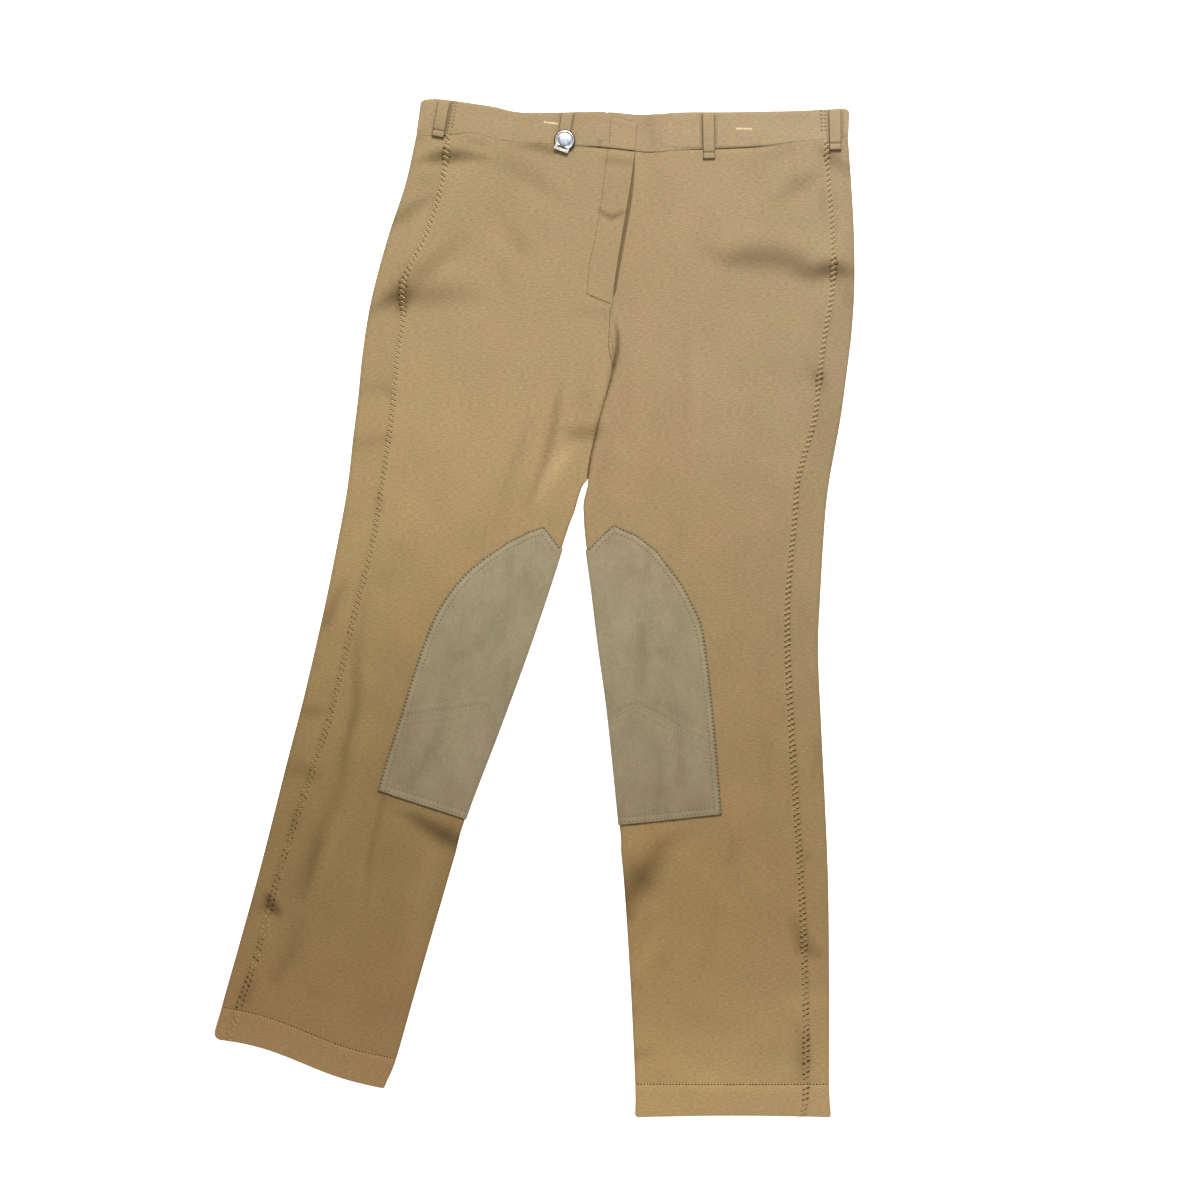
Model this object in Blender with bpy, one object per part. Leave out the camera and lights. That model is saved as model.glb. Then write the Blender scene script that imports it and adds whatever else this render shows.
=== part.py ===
"""Riding breeches laid flat, front side up, as a rigid part.

Every cut piece is its own closed wall of cloth: two fronts, two backs that wrap
round the outer folds, a three-piece waistband, four belt loops, a two-piece
suede patch on each knee and a plain metal badge on one loop.

Frame: +X to the left leg, +Y up to the waist, +Z off the table, origin under
the middle of the outline. Tables and sizes are in millimetres.
"""
import math
from collections import namedtuple

import bmesh
import bpy

MM = 0.001

# ---------------------------------------------------------------- driving sizes
PANEL_WALL = 1.3        # stretch twill of the legs
HEM_WALL = 1.9          # the same cloth turned up at the hem
BAND_WALL = 2.0         # doubled waistband
PATCH_WALL = 1.0        # suede of the knee patches
LOOP_WALL = 1.2         # belt loop strip
SEAM_GAP = 0.3          # between two pieces at a seam, and under what lies on a panel
LAYER_GAP = 0.6         # between the back and the front where both lie flat
AIR_RAMP = 55.0         # the front rises from a fold to its full height over this
FLY_LAP = 27.0          # the left front runs this far under the right one
LOOP_WIDTH = 11.5

# Stations down a leg, by the number of their row in the tables below.
FLY_END = 3.4
FORK = 7.0
PATCH_TIP = 8.12
PATCH_CORNER = 8.43
PATCH_SEAM = 11.0
PATCH_HEM = 12.0
HEM_STITCH = 15.0
HEM = 16.0

# A row is one line across a leg, from its outer fold to its inner edge. seam_in is
# the side seam's distance from the fold, air the height of the free space between
# the back and the front in the middle of the row.
Row = namedtuple("Row", "outer_x outer_y inner_x inner_y seam_in air")

RIGHT_ROWS = (
    Row(-113.0, 447.5, 95.0, 433.5, 27.5, 0.9),
    Row(-124.5, 402.0, 90.0, 397.0, 32.5, 1.6),
    Row(-138.5, 356.0, 82.5, 352.5, 32.5, 2.1),
    Row(-151.0, 311.5, 75.0, 304.0, 23.5, 2.5),
    Row(-158.5, 277.5, 72.0, 264.0, 30.0, 2.6),
    Row(-164.5, 235.5, 74.0, 226.0, 30.0, 2.6),
    Row(-168.0, 199.5, 64.5, 178.5, 30.5, 2.6),
    Row(-173.0, 159.5, 50.5, 123.5, 30.5, 2.5),
    Row(-178.5, 112.0, 34.0, 79.0, 29.0, 2.4),
    Row(-188.0, 60.0, 16.5, 24.0, 29.5, 2.3),
    Row(-200.5, -2.0, -5.5, -41.0, 26.0, 2.2),
    Row(-219.5, -84.5, -33.5, -117.0, 26.0, 2.1),
    Row(-235.0, -144.5, -65.0, -200.5, 22.5, 2.0),
    Row(-259.5, -241.5, -90.5, -285.0, 15.5, 1.9),
    Row(-281.0, -320.0, -114.0, -366.0, 16.0, 1.6),
    Row(-297.5, -378.5, -131.5, -427.5, 13.0, 1.2),
    Row(-303.5, -406.5, -141.5, -454.0, 10.5, 0.9),
)
LEFT_ROWS = (
    Row(297.5, 444.5, 95.0, 433.5, 18.0, 0.9),
    Row(300.5, 402.0, 90.0, 397.0, 18.0, 1.6),
    Row(303.0, 356.0, 82.5, 352.5, 17.0, 2.1),
    Row(303.5, 307.0, 75.0, 304.0, 17.5, 2.5),
    Row(301.0, 264.0, 72.0, 264.0, 21.5, 2.6),
    Row(296.5, 226.0, 74.0, 226.0, 22.5, 2.6),
    Row(290.0, 178.5, 64.5, 178.5, 21.5, 2.6),
    Row(280.0, 123.5, 50.5, 123.5, 26.5, 2.5),
    Row(275.5, 85.5, 45.0, 85.5, 25.5, 2.4),
    Row(271.0, 12.5, 53.5, 12.5, 27.5, 2.3),
    Row(269.0, -40.0, 60.0, -40.0, 26.0, 2.2),
    Row(271.5, -103.5, 68.5, -103.5, 25.5, 2.1),
    Row(275.5, -185.0, 79.0, -206.0, 24.5, 2.0),
    Row(278.5, -262.0, 85.0, -268.0, 22.5, 1.9),
    Row(279.5, -363.0, 91.0, -363.0, 19.5, 1.6),
    Row(279.5, -452.0, 95.0, -452.0, 19.0, 1.2),
    Row(281.0, -483.0, 95.0, -483.0, 23.5, 0.9),
)

# The waistband from the right fold to the left one: its seam to the legs, and its top.
Band = namedtuple("Band", "seam_x seam_y top_x top_y")
BAND_ROWS = (
    Band(-113.0, 447.5, -109.0, 481.5),
    Band(-98.0, 448.0, -96.0, 483.0),
    Band(-85.5, 448.3, -80.5, 481.7),
    Band(-60.0, 450.5, -58.0, 478.5),
    Band(-40.0, 445.5, -39.0, 475.5),
    Band(-18.0, 441.5, -16.0, 470.5),
    Band(13.0, 440.0, 14.0, 470.0),
    Band(45.0, 438.5, 47.0, 470.7),
    Band(72.0, 436.0, 73.0, 470.3),
    Band(95.0, 433.5, 97.5, 468.0),
    Band(112.0, 432.5, 112.0, 468.5),
    Band(140.0, 434.5, 141.0, 470.3),
    Band(176.0, 435.8, 177.0, 470.5),
    Band(214.0, 438.0, 215.0, 471.0),
    Band(245.0, 441.8, 246.0, 472.3),
    Band(279.5, 444.3, 277.0, 473.6),
    Band(297.5, 444.5, 298.5, 471.5),
)
TAB_FALL_START = 176.0  # along the seam from the right fold, where the fly tab's top falls
TAB_FALL_END = 188.0
TAB_FALL = 5.3          # the tab's top lies this far below the band's
TAB_CORNER_FALL = 3.2   # and this much more at its corner

# Reach of a knee patch over the front, from the leg's inner edge. Above the patch the
# same column of the front's points runs on, up to the edge of the layers under the fly.
Reach = namedtuple("Reach", "station front")
RIGHT_PATCH = (
    Reach(0.0, 31.0),
    Reach(4.0, 31.0),
    Reach(7.6, 23.0),
    Reach(8.12, 25.0),
    Reach(8.25, 36.0),
    Reach(8.47, 51.0),
    Reach(8.89, 72.0),
    Reach(9.28, 85.5),
    Reach(9.73, 94.0),
    Reach(10.3, 96.0),
    Reach(11.0, 93.0),
    Reach(12.0, 86.5),
)
LEFT_PATCH = (
    Reach(0.0, 31.0),
    Reach(4.0, 31.0),
    Reach(7.6, 27.0),
    Reach(8.12, 30.0),
    Reach(8.25, 49.0),
    Reach(8.44, 66.5),
    Reach(8.87, 86.5),
    Reach(9.47, 99.0),
    Reach(10.3, 100.5),
    Reach(12.0, 97.0),
)
PATCH_BACK_SHARE = 0.72  # its reach under the leg, as a share of the front's

# The seam across a patch: its rise above the station, at shares of the way inwards.
Bend = namedtuple("Bend", "share rise")
RIGHT_BEND = (Bend(0.0, -3.0), Bend(0.79, 21.0), Bend(1.0, 0.0))
LEFT_BEND = (Bend(0.0, -27.0), Bend(0.73, 13.0), Bend(1.0, 0.0))
STATION_STEP = 78.0     # length of leg between two rows at the knee
BEND_FADE = 0.9         # stations over which the bend dies away

# The main folds of the upper layer: a soft trough (depth < 0) or ridge on each line.
Fold = namedtuple("Fold", "x0 y0 x1 y1 width depth")
FOLDS = (
    Fold(-150.0, 290.0, -59.0, 299.0, 10.0, -1.2),
    Fold(-112.0, 286.0, -70.0, 273.0, 13.0, 0.8),
    Fold(-103.0, 388.0, -126.0, 369.0, 10.0, -1.0),
    Fold(24.0, 200.0, -6.0, 104.0, 11.0, -1.3),
    Fold(38.0, 152.0, 8.0, 88.0, 10.0, 1.0),
    Fold(176.0, 340.0, 296.0, 318.0, 12.0, -1.9),
    Fold(190.0, 362.0, 280.0, 345.0, 15.0, 0.9),
    Fold(232.0, 388.0, 272.0, 407.0, 14.0, -1.0),
    Fold(92.0, -262.0, 158.0, -214.0, 12.0, -1.0),
    Fold(-169.0, -43.0, -226.0, -270.0, 14.0, -1.0),
)

# Belt loops: the middle of the upper and of the lower end.
Loop = namedtuple("Loop", "name top_x top_y foot_x foot_y")
LOOPS = (
    Loop("belt_loop_side_right", -86.0, 479.5, -92.0, 446.5),
    Loop("belt_loop_front_right", 31.0, 468.5, 26.0, 436.5),
    Loop("belt_loop_front_left", 164.5, 468.0, 165.5, 427.5),
    Loop("belt_loop_side_left", 285.0, 470.5, 285.5, 436.0),
)
LOOP_BOW = 1.1          # the loop's middle stands this far off the band
LOOP_FOOT = 7.0         # length turned under at the lower end

BADGE_X, BADGE_Y = 28.5, 445.5
BADGE_RADIUS = 9.2
BADGE_WALL = 1.8
BADGE_TURN = math.radians(-21.0)
BADGE_TAB_WIDTH = 13.5
BADGE_TAB_DROP = 14.5   # from the disc's middle to the tab's lower edge
BADGE_SLOT_WIDTH = 8.5
BADGE_SLOT_HEIGHT = 1.6

# ------------------------------------------------------------------ plain maths


def ease(share):
    """0 to 1 with level ends."""
    share = min(max(share, 0.0), 1.0)
    return share * share * (3.0 - 2.0 * share)


def mix(a, b, share):
    return a + (b - a) * share


def along(rows, column, position, corner=None):
    """Smooth value of a column at a row number that may lie between rows, but for a corner."""
    last = len(rows) - 1
    k = min(max(int(position), 0), last - 1)
    f = position - k
    p1, p2 = getattr(rows[k], column), getattr(rows[k + 1], column)
    p0 = getattr(rows[k - 1], column) if k not in (0, corner) else 2.0 * p1 - p2
    p3 = getattr(rows[k + 2], column) if k + 1 not in (last, corner) else 2.0 * p2 - p1
    slope1, slope2 = (p2 - p0) / 2.0, (p3 - p1) / 2.0
    return (p1 * (1.0 + 2.0 * f) * (1.0 - f) ** 2 + slope1 * f * (1.0 - f) ** 2
            + p2 * f * f * (3.0 - 2.0 * f) - slope2 * f * f * (1.0 - f))


def at_key(rows, key, column, value):
    """Smooth value of a column where another, rising column has the given value."""
    k = 0
    while k < len(rows) - 2 and getattr(rows[k + 1], key) < value:
        k += 1
    low, high = getattr(rows[k], key), getattr(rows[k + 1], key)
    share = min(max((value - low) / (high - low), 0.0), 1.0)
    return along(rows, column, k + share)


def fold_height(x, y):
    """Height that the folds add to the upper layer at a place."""
    total = 0.0
    for fold in FOLDS:
        run_x, run_y = fold.x1 - fold.x0, fold.y1 - fold.y0
        share = ((x - fold.x0) * run_x + (y - fold.y0) * run_y) / (run_x ** 2 + run_y ** 2)
        share = min(max(share, 0.0), 1.0)
        away = math.hypot(x - fold.x0 - share * run_x, y - fold.y0 - share * run_y)
        total += fold.depth * math.exp(-(away / fold.width) ** 2)
    return total


# -------------------------------------------------------------- a line of a leg


class Leg:
    """One leg's tables."""

    def __init__(self, name, rows, patch, bend, is_right):
        self.name = name
        self.rows = rows
        self.patch = patch
        self.bend = bend
        self.is_right = is_right


RIGHT = Leg("right", RIGHT_ROWS, RIGHT_PATCH, RIGHT_BEND, True)
LEFT = Leg("left", LEFT_ROWS, LEFT_PATCH, LEFT_BEND, False)


class Line:
    """The section of a leg at one station: places across it and heights of its layers."""

    def __init__(self, leg, station):
        self.leg = leg
        self.station = station
        self.x = along(leg.rows, "outer_x", station)
        self.y = along(leg.rows, "outer_y", station)
        run_x = along(leg.rows, "inner_x", station, FORK) - self.x
        run_y = along(leg.rows, "inner_y", station, FORK) - self.y
        self.width = math.hypot(run_x, run_y)
        self.dir_x, self.dir_y = run_x / self.width, run_y / self.width
        self.seam_in = along(leg.rows, "seam_in", station)
        self.air = along(leg.rows, "air", station)
        self.wall = mix(PANEL_WALL, HEM_WALL, ease((station - HEM_STITCH + 0.12) / 0.12))
        self.round = self.wall + LAYER_GAP / 2.0
        self.curl = ease((station - FORK) / 0.35)
        self.lift = (PATCH_WALL + SEAM_GAP) * (ease((station - 7.65) / 0.35)
                                               - ease((station - 12.12) / 0.3))
        self.patch_front = at_key(leg.patch, "station", "front", station)
        self.patch_back = self.patch_front * PATCH_BACK_SHARE
        self.bow = max(0.0, 1.0 - station / 2.6) ** 2
        self.shift_y = -SEAM_GAP / 2.0 if station == 0.0 else 0.0

    def at(self, across):
        """Plan position so far in from the outer fold."""
        x = self.x + self.dir_x * across
        y = self.y + self.dir_y * across
        if self.bow > 0.0:
            run_x = self.dir_x * self.width
            share = (x - self.x) / run_x
            straight = mix(self.leg.rows[0].outer_y, self.leg.rows[0].inner_y, share)
            top_x = mix(self.leg.rows[0].outer_x, self.leg.rows[0].inner_x, share)
            y += self.bow * (at_key(BAND_ROWS, "seam_x", "seam_y", top_x) - straight)
        return x, y + self.shift_y

    def front_under(self, across):
        """Height of the underside of the upper layer."""
        outer = ease(across / AIR_RAMP)
        inner = mix(1.0, ease((self.width - across) / AIR_RAMP), self.curl)
        height = self.wall + LAYER_GAP + self.air * outer * inner + self.lift * ease(across / 60.0)
        lowest = self.wall + LAYER_GAP * 0.7 + self.lift * ease(across / 60.0)
        x, y = self.at(across)
        height += fold_height(x, y) * outer * inner
        height = max(height, lowest)
        if self.leg.is_right:
            to_edge = self.width - across
            over = ease((48.0 - to_edge) / 15.0) * (1.0 - ease((self.station - FLY_END) / 0.4))
            height += (PANEL_WALL + SEAM_GAP) * over
        return height

    def back_under(self, across):
        """Height of the underside of the back."""
        clear = self.width - self.patch_back
        return self.lift * ease((across - clear + 18.0) / 15.0)


# -------------------------------------------------------------- walls of cloth


def cloth(name, outside, inside, material, keep=None):
    """A closed wall from two equal grids of points, over the cells that keep allows."""
    rows, columns = len(outside), len(outside[0])
    kept = {(r, c) for r in range(rows - 1) for c in range(columns - 1)
            if keep is None or keep(r, c)}
    numbers = {}
    points = []

    def number(side, r, c):
        key = (side, r, c)
        if key not in numbers:
            numbers[key] = len(points)
            grid = inside if side else outside
            points.append([value * MM for value in grid[r][c]])
        return numbers[key]

    faces = []

    def quad(a, b, c, d):
        faces.append((a, b, c))
        faces.append((a, c, d))

    for r, c in sorted(kept):
        corners = ((r, c), (r, c + 1), (r + 1, c + 1), (r + 1, c))
        quad(*(number(0, *corner) for corner in corners))
        inner = [number(1, *corner) for corner in corners]
        faces.append((inner[0], inner[2], inner[1]))
        faces.append((inner[0], inner[3], inner[2]))
        neighbours = ((r - 1, c), (r, c + 1), (r + 1, c), (r, c - 1))
        for k, neighbour in enumerate(neighbours):
            if neighbour not in kept:
                a, b = corners[k], corners[(k + 1) % 4]
                quad(number(0, *b), number(0, *a), number(1, *a), number(1, *b))

    mesh = bpy.data.meshes.new(name)
    mesh.from_pydata(points, [], faces)
    shell = bmesh.new()
    shell.from_mesh(mesh)
    if shell.calc_volume(signed=True) < 0.0:
        bmesh.ops.reverse_faces(shell, faces=shell.faces)
    shell.to_mesh(mesh)
    shell.free()
    mesh.materials.append(material)
    piece = bpy.data.objects.new(name, mesh)
    bpy.context.scene.collection.objects.link(piece)
    mesh.shade_smooth()
    mesh.set_sharp_from_angle(angle=math.radians(40.0))
    return piece


def material(name, colour, roughness, metallic=0.0):
    made = bpy.data.materials.new(name)
    made.use_nodes = True
    shader = made.node_tree.nodes["Principled BSDF"]
    shader.inputs["Base Color"].default_value = (*colour, 1.0)
    shader.inputs["Roughness"].default_value = roughness
    shader.inputs["Metallic"].default_value = metallic
    return made


CURL_ANGLES = [math.radians(a) for a in (30.0, 60.0, 90.0)]
FOLD_ANGLES = [math.radians(a) for a in (45.0, 90.0, 135.0)]


def steps(low, high, count):
    """count + 1 even values from low to high."""
    return [mix(low, high, k / count) for k in range(count + 1)]


def front_columns(line):
    """Distances across of the front's columns, one of which follows the patch's edge."""
    start = line.seam_in + SEAM_GAP / 2.0
    flat_end = line.width - SEAM_GAP / 2.0 - line.round
    edge = line.width - line.patch_front
    return steps(start, edge, 5) + steps(edge, flat_end, 4)[1:]


def fold_columns(line):
    """Distances across of the back's upper part, from the side seam to the outer fold."""
    return steps(line.seam_in - SEAM_GAP / 2.0, line.round, 3)


def under_columns(line):
    """Distances across of the back's lower part, round the raised place over a patch."""
    clear = line.width - line.patch_back
    flat_end = line.width - SEAM_GAP / 2.0 - line.round
    return steps(line.round, clear - 18.0, 4) + steps(clear - 3.0, flat_end, 2)


def edge_height(line):
    """Middle height of the inner edge, where the front and the back meet."""
    flat_end = line.width - SEAM_GAP / 2.0 - line.round
    top = line.front_under(flat_end) + line.wall
    return (line.lift + top) / 2.0


def front_curl(line, angle, out):
    """Section point (across, height) on the front's turned inner edge, moved out by out."""
    flat_end = line.width - SEAM_GAP / 2.0 - line.round
    under = line.front_under(flat_end)
    end = mix(under, edge_height(line) + SEAM_GAP / 2.0, line.curl)
    radius = mix(line.round, line.round + out, line.curl)
    across = flat_end + radius * math.sin(angle)
    height = end + (under + line.wall + out - end) * mix(1.0, math.cos(angle), line.curl)
    return across, height


def back_curl(line, angle, out):
    """Section point on the back's turned inner edge, moved out by out."""
    flat_end = line.width - SEAM_GAP / 2.0 - line.round
    end = mix(line.lift, edge_height(line) - SEAM_GAP / 2.0, line.curl)
    radius = mix(line.round, line.round + out, line.curl)
    across = flat_end + radius * math.sin(angle)
    height = end - (end - line.lift + out) * mix(1.0, math.cos(angle), line.curl)
    return across, height


def point(line, across, height):
    x, y = line.at(across)
    return x, y, height


# --------------------------------------------------------------------- panels

ROW_STATIONS = (
    0.0, 0.35, 0.7, 1.05, 1.4, 1.8, 2.15, 2.45, 2.75, 3.05, 3.4, 3.8, 4.3, 4.8, 5.3, 5.8, 6.4,
    FORK, 7.15, 7.35, 7.65, 8.0, PATCH_TIP, 8.25, PATCH_CORNER, 8.63, 8.9, 9.3, 9.8, 10.3, 10.65,
    PATCH_SEAM, 11.5, PATCH_HEM, 12.12, 12.42, 13.0, 13.6, 14.3, 14.88, HEM_STITCH, 15.5, HEM,
)


def front_panel(leg, cloth_material):
    outside, inside = [], []
    lap_rows = [s for s in ROW_STATIONS if s <= FLY_END]
    lap_columns = 0 if leg.is_right else 2
    for station in ROW_STATIONS:
        line = Line(leg, station)
        top, under = [], []
        for across in front_columns(line):
            height = line.front_under(across)
            top.append(point(line, across, height + line.wall))
            under.append(point(line, across, height))
        for angle in CURL_ANGLES:
            outer_point = front_curl(line, angle, 0.0)
            inner_curled = front_curl(line, angle, -line.wall)
            top.append(point(line, *outer_point))
            flat_height = outer_point[1] - line.wall
            across = mix(outer_point[0], inner_curled[0], line.curl)
            height = mix(flat_height, inner_curled[1], line.curl)
            under.append(point(line, across, height))
        if lap_columns:
            share = ease((FLY_END + 0.15 - station) / 0.5)
            for k in (1, 2):
                across = line.width + FLY_LAP * share * k / lap_columns + 0.5
                height = line.front_under(line.width)
                top.append(point(line, across, height + line.wall))
                under.append(point(line, across, height))
        outside.append(top)
        inside.append(under)
    panel_cells = len(outside[0]) - 1 - lap_columns

    def keep(r, c):
        return c < panel_cells or r < len(lap_rows) - 1

    return cloth(f"front_{leg.name}", outside, inside, cloth_material, keep)


def back_panel(leg, cloth_material):
    outside, inside = [], []
    for station in ROW_STATIONS:
        line = Line(leg, station)
        out, within = [], []
        for across in fold_columns(line):
            height = line.front_under(across)
            out.append(point(line, across, height + line.wall))
            within.append(point(line, across, height))
        half = (line.front_under(line.round) + line.wall) / 2.0
        for angle in FOLD_ANGLES:
            for radius, rise, target in ((line.round, half, out),
                                         (line.round - line.wall, half - line.wall, within)):
                target.append(point(line, line.round - radius * math.sin(angle),
                                    half + rise * math.cos(angle)))
        for across in under_columns(line):
            height = line.back_under(across)
            out.append(point(line, across, height))
            within.append(point(line, across, height + line.wall))
        for angle in CURL_ANGLES:
            outer_point = back_curl(line, angle, 0.0)
            inner_curled = back_curl(line, angle, -line.wall)
            out.append(point(line, *outer_point))
            across = mix(outer_point[0], inner_curled[0], line.curl)
            height = mix(outer_point[1] + line.wall, inner_curled[1], line.curl)
            within.append(point(line, across, height))
        outside.append(out)
        inside.append(within)
    return cloth(f"back_{leg.name}", outside, inside, cloth_material)


# --------------------------------------------------------------- knee patches


def bend_rise(leg, share):
    """Stations by which the patch's seam lies above its row, at a share of the way in."""
    for low, high in zip(leg.bend, leg.bend[1:]):
        if share <= high.share:
            part = (share - low.share) / (high.share - low.share)
            return mix(low.rise, high.rise, part) / STATION_STEP
    return 0.0


def patch_piece(leg, name, stations, trim, suede):
    """One piece of a knee patch; trim moves its seam edge back by half the seam gap."""
    front_cells, back_cells = 5, 4
    near, far = SEAM_GAP, SEAM_GAP + PATCH_WALL
    outside, inside = [], []
    for station in stations:
        shift = trim if station == PATCH_SEAM else 0.0
        fade = max(0.0, 1.0 - abs(station - PATCH_SEAM) / BEND_FADE)
        slope = max(0.0, (PATCH_CORNER - station) / (PATCH_CORNER - PATCH_TIP))
        out, within = [], []

        def line_at(share):
            return Line(leg, station + shift - bend_rise(leg, share) * fade)

        for k in range(front_cells + 1):
            share = k / front_cells
            line = line_at(share)
            flat_end = line.width - SEAM_GAP / 2.0 - line.round
            edge = line.width - line.patch_front
            across = mix(edge, mix(flat_end, edge + 3.0, slope), share)
            top = line.front_under(across) + line.wall
            out.append(point(line, across, top + far))
            within.append(point(line, across, top + near))
        line = line_at(1.0)
        for angle in CURL_ANGLES:
            out.append(point(line, *front_curl(line, angle, far)))
            within.append(point(line, *front_curl(line, angle, near)))
        for angle in reversed(CURL_ANGLES[:-1]):
            out.append(point(line, *back_curl(line, angle, far)))
            within.append(point(line, *back_curl(line, angle, near)))
        for k in range(back_cells + 1):
            share = 1.0 - k / back_cells
            line = line_at(share)
            flat_end = line.width - SEAM_GAP / 2.0 - line.round
            edge = line.width - line.patch_back
            across = mix(edge, mix(flat_end, edge + 3.0, slope), share)
            out.append(point(line, across, line.lift - far))
            within.append(point(line, across, line.lift - near))
        outside.append(out)
        inside.append(within)
    curl_start = front_cells
    curl_end = front_cells + 2 * len(CURL_ANGLES)

    def keep(r, c):
        return stations[r] >= PATCH_CORNER or c < curl_start or c >= curl_end

    return cloth(name, outside, inside, suede, keep)


def knee_patch(leg, suede):
    rows = [s for s in ROW_STATIONS if PATCH_TIP <= s <= PATCH_HEM]
    upper = [s for s in rows if s <= PATCH_SEAM]
    lower = [s for s in rows if s >= PATCH_SEAM]
    trim = SEAM_GAP / 2.0 / STATION_STEP
    patch_piece(leg, f"knee_patch_upper_{leg.name}", upper, -trim, suede)
    patch_piece(leg, f"knee_patch_lower_{leg.name}", lower, trim, suede)


# ------------------------------------------------------------------ waistband


def band_point(distance, share, height):
    """Point of the band: distance along its seam from the right fold, share of its height."""
    seam_x = BAND_ROWS[0].seam_x + distance
    k = 0
    while k < len(BAND_ROWS) - 2 and BAND_ROWS[k + 1].seam_x < seam_x:
        k += 1
    position = k + (seam_x - BAND_ROWS[k].seam_x) / (BAND_ROWS[k + 1].seam_x - BAND_ROWS[k].seam_x)
    position = min(max(position, 0.0), len(BAND_ROWS) - 1.0)
    seam_y = along(BAND_ROWS, "seam_y", position) + SEAM_GAP / 2.0
    x = mix(seam_x, along(BAND_ROWS, "top_x", position), share)
    y = mix(seam_y, along(BAND_ROWS, "top_y", position), share)
    return x, y, height


BAND_LENGTH = BAND_ROWS[-1].seam_x - BAND_ROWS[0].seam_x
BAND_CENTRE = RIGHT_ROWS[0].inner_x - BAND_ROWS[0].seam_x
BAND_HEIGHT = BAND_ROWS[0].top_y - BAND_ROWS[0].seam_y
BAND_SHARES = steps(0.0, 1.0, 3)
BAND_TOP = 2.0 * BAND_WALL + LAYER_GAP
BAND_ROUND = BAND_TOP / 2.0

# One column of the band: where its outer and its inner face lie, and how high it reaches.
Column = namedtuple("Column", "outer_run outer_z inner_run inner_z full")


def band_piece(name, columns, band_cloth):
    outside, inside = [], []
    for share in BAND_SHARES:
        outside.append([band_point(c.outer_run, share * c.full, c.outer_z) for c in columns])
        inside.append([band_point(c.inner_run, share * c.full, c.inner_z) for c in columns])
    return cloth(name, outside, inside, band_cloth)


def tab_share(distance):
    """Share of the band's height that the right front has, less over the fly tab."""
    fall = TAB_FALL * ease((distance - TAB_FALL_START) / (TAB_FALL_END - TAB_FALL_START))
    fall += TAB_CORNER_FALL * ease((distance - TAB_FALL_END) / (BAND_CENTRE - TAB_FALL_END))
    return 1.0 - fall / BAND_HEIGHT


def band_runs(leg, columns):
    """The same columns as a leg's top row has, as distances along the band."""
    line = Line(leg, 0.0)
    runs = [abs(line.dir_x) * across for across in columns(line)]
    return runs if leg.is_right else [BAND_LENGTH - run for run in runs]


def upper(run, raised=0.0, full=1.0):
    top = BAND_TOP + raised
    return Column(run, top, run, top - BAND_WALL, full)


def lower(run):
    return Column(run, 0.0, run, BAND_WALL, 1.0)


def band_fold(angle, middle, side):
    sine, cosine = side * math.sin(angle), math.cos(angle)
    inner_round = BAND_ROUND - BAND_WALL
    return Column(middle + BAND_ROUND * sine, BAND_ROUND + BAND_ROUND * cosine,
                  middle + inner_round * sine, BAND_ROUND + inner_round * cosine, 1.0)


def waistband(band_cloth):
    right_end, left_end = BAND_ROUND, BAND_LENGTH - BAND_ROUND
    back = [upper(run) for run in band_runs(RIGHT, fold_columns)[:-1] + [right_end]]
    back += [band_fold(angle, right_end, -1.0) for angle in FOLD_ANGLES]
    back += [lower(run) for run in [right_end] + band_runs(RIGHT, under_columns)[1:-1]]
    back += [lower(run) for run in band_runs(LEFT, under_columns)[-2:0:-1] + [left_end]]
    back += [band_fold(angle, left_end, 1.0) for angle in reversed(FOLD_ANGLES)]
    back += [upper(run) for run in [left_end] + band_runs(LEFT, fold_columns)[-2::-1]]
    band_piece("waistband_back", back, band_cloth)

    lap_start = BAND_CENTRE - FLY_LAP
    right = []
    for run in band_runs(RIGHT, front_columns) + [BAND_CENTRE]:
        over = ease((run - lap_start + 22.0) / 16.0) * (BAND_WALL + SEAM_GAP)
        right.append(upper(run, over, tab_share(run)))
    band_piece("waistband_front_right", right, band_cloth)

    laps = [lap_start, BAND_CENTRE - FLY_LAP / 2.0, BAND_CENTRE]
    left = [upper(run) for run in laps + band_runs(LEFT, front_columns)[::-1]]
    band_piece("waistband_front_left", left, band_cloth)


# ----------------------------------------------------------- loops and badge


def belt_loop(loop, band_cloth):
    run_x, run_y = loop.foot_x - loop.top_x, loop.foot_y - loop.top_y
    length = math.hypot(run_x, run_y)
    side_x, side_y = -run_y / length, run_x / length
    rest = BAND_TOP + SEAM_GAP
    foot = length - LOOP_FOOT
    outside, inside = [], []
    for down in steps(0.0, foot, 6) + [foot + 0.5, length - 1.0, length]:
        bow = LOOP_BOW * math.sin(math.pi * min(down / foot, 1.0)) ** 0.6 if down < foot else 0.0
        thick = LOOP_WALL if down <= foot else 2.0 * LOOP_WALL
        thick -= 0.6 if down == length else 0.0
        out, within = [], []
        for across in (-0.5, -0.4, 0.4, 0.5):
            x = loop.top_x + run_x * down / length + side_x * across * LOOP_WIDTH
            y = loop.top_y + run_y * down / length + side_y * across * LOOP_WIDTH
            rim = 0.35 if abs(across) == 0.5 else 0.0
            out.append((x, y, rest + bow + thick - rim))
            within.append((x, y, rest + bow))
        outside.append(out)
        inside.append(within)
    cloth(loop.name, outside, inside, band_cloth)


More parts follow.
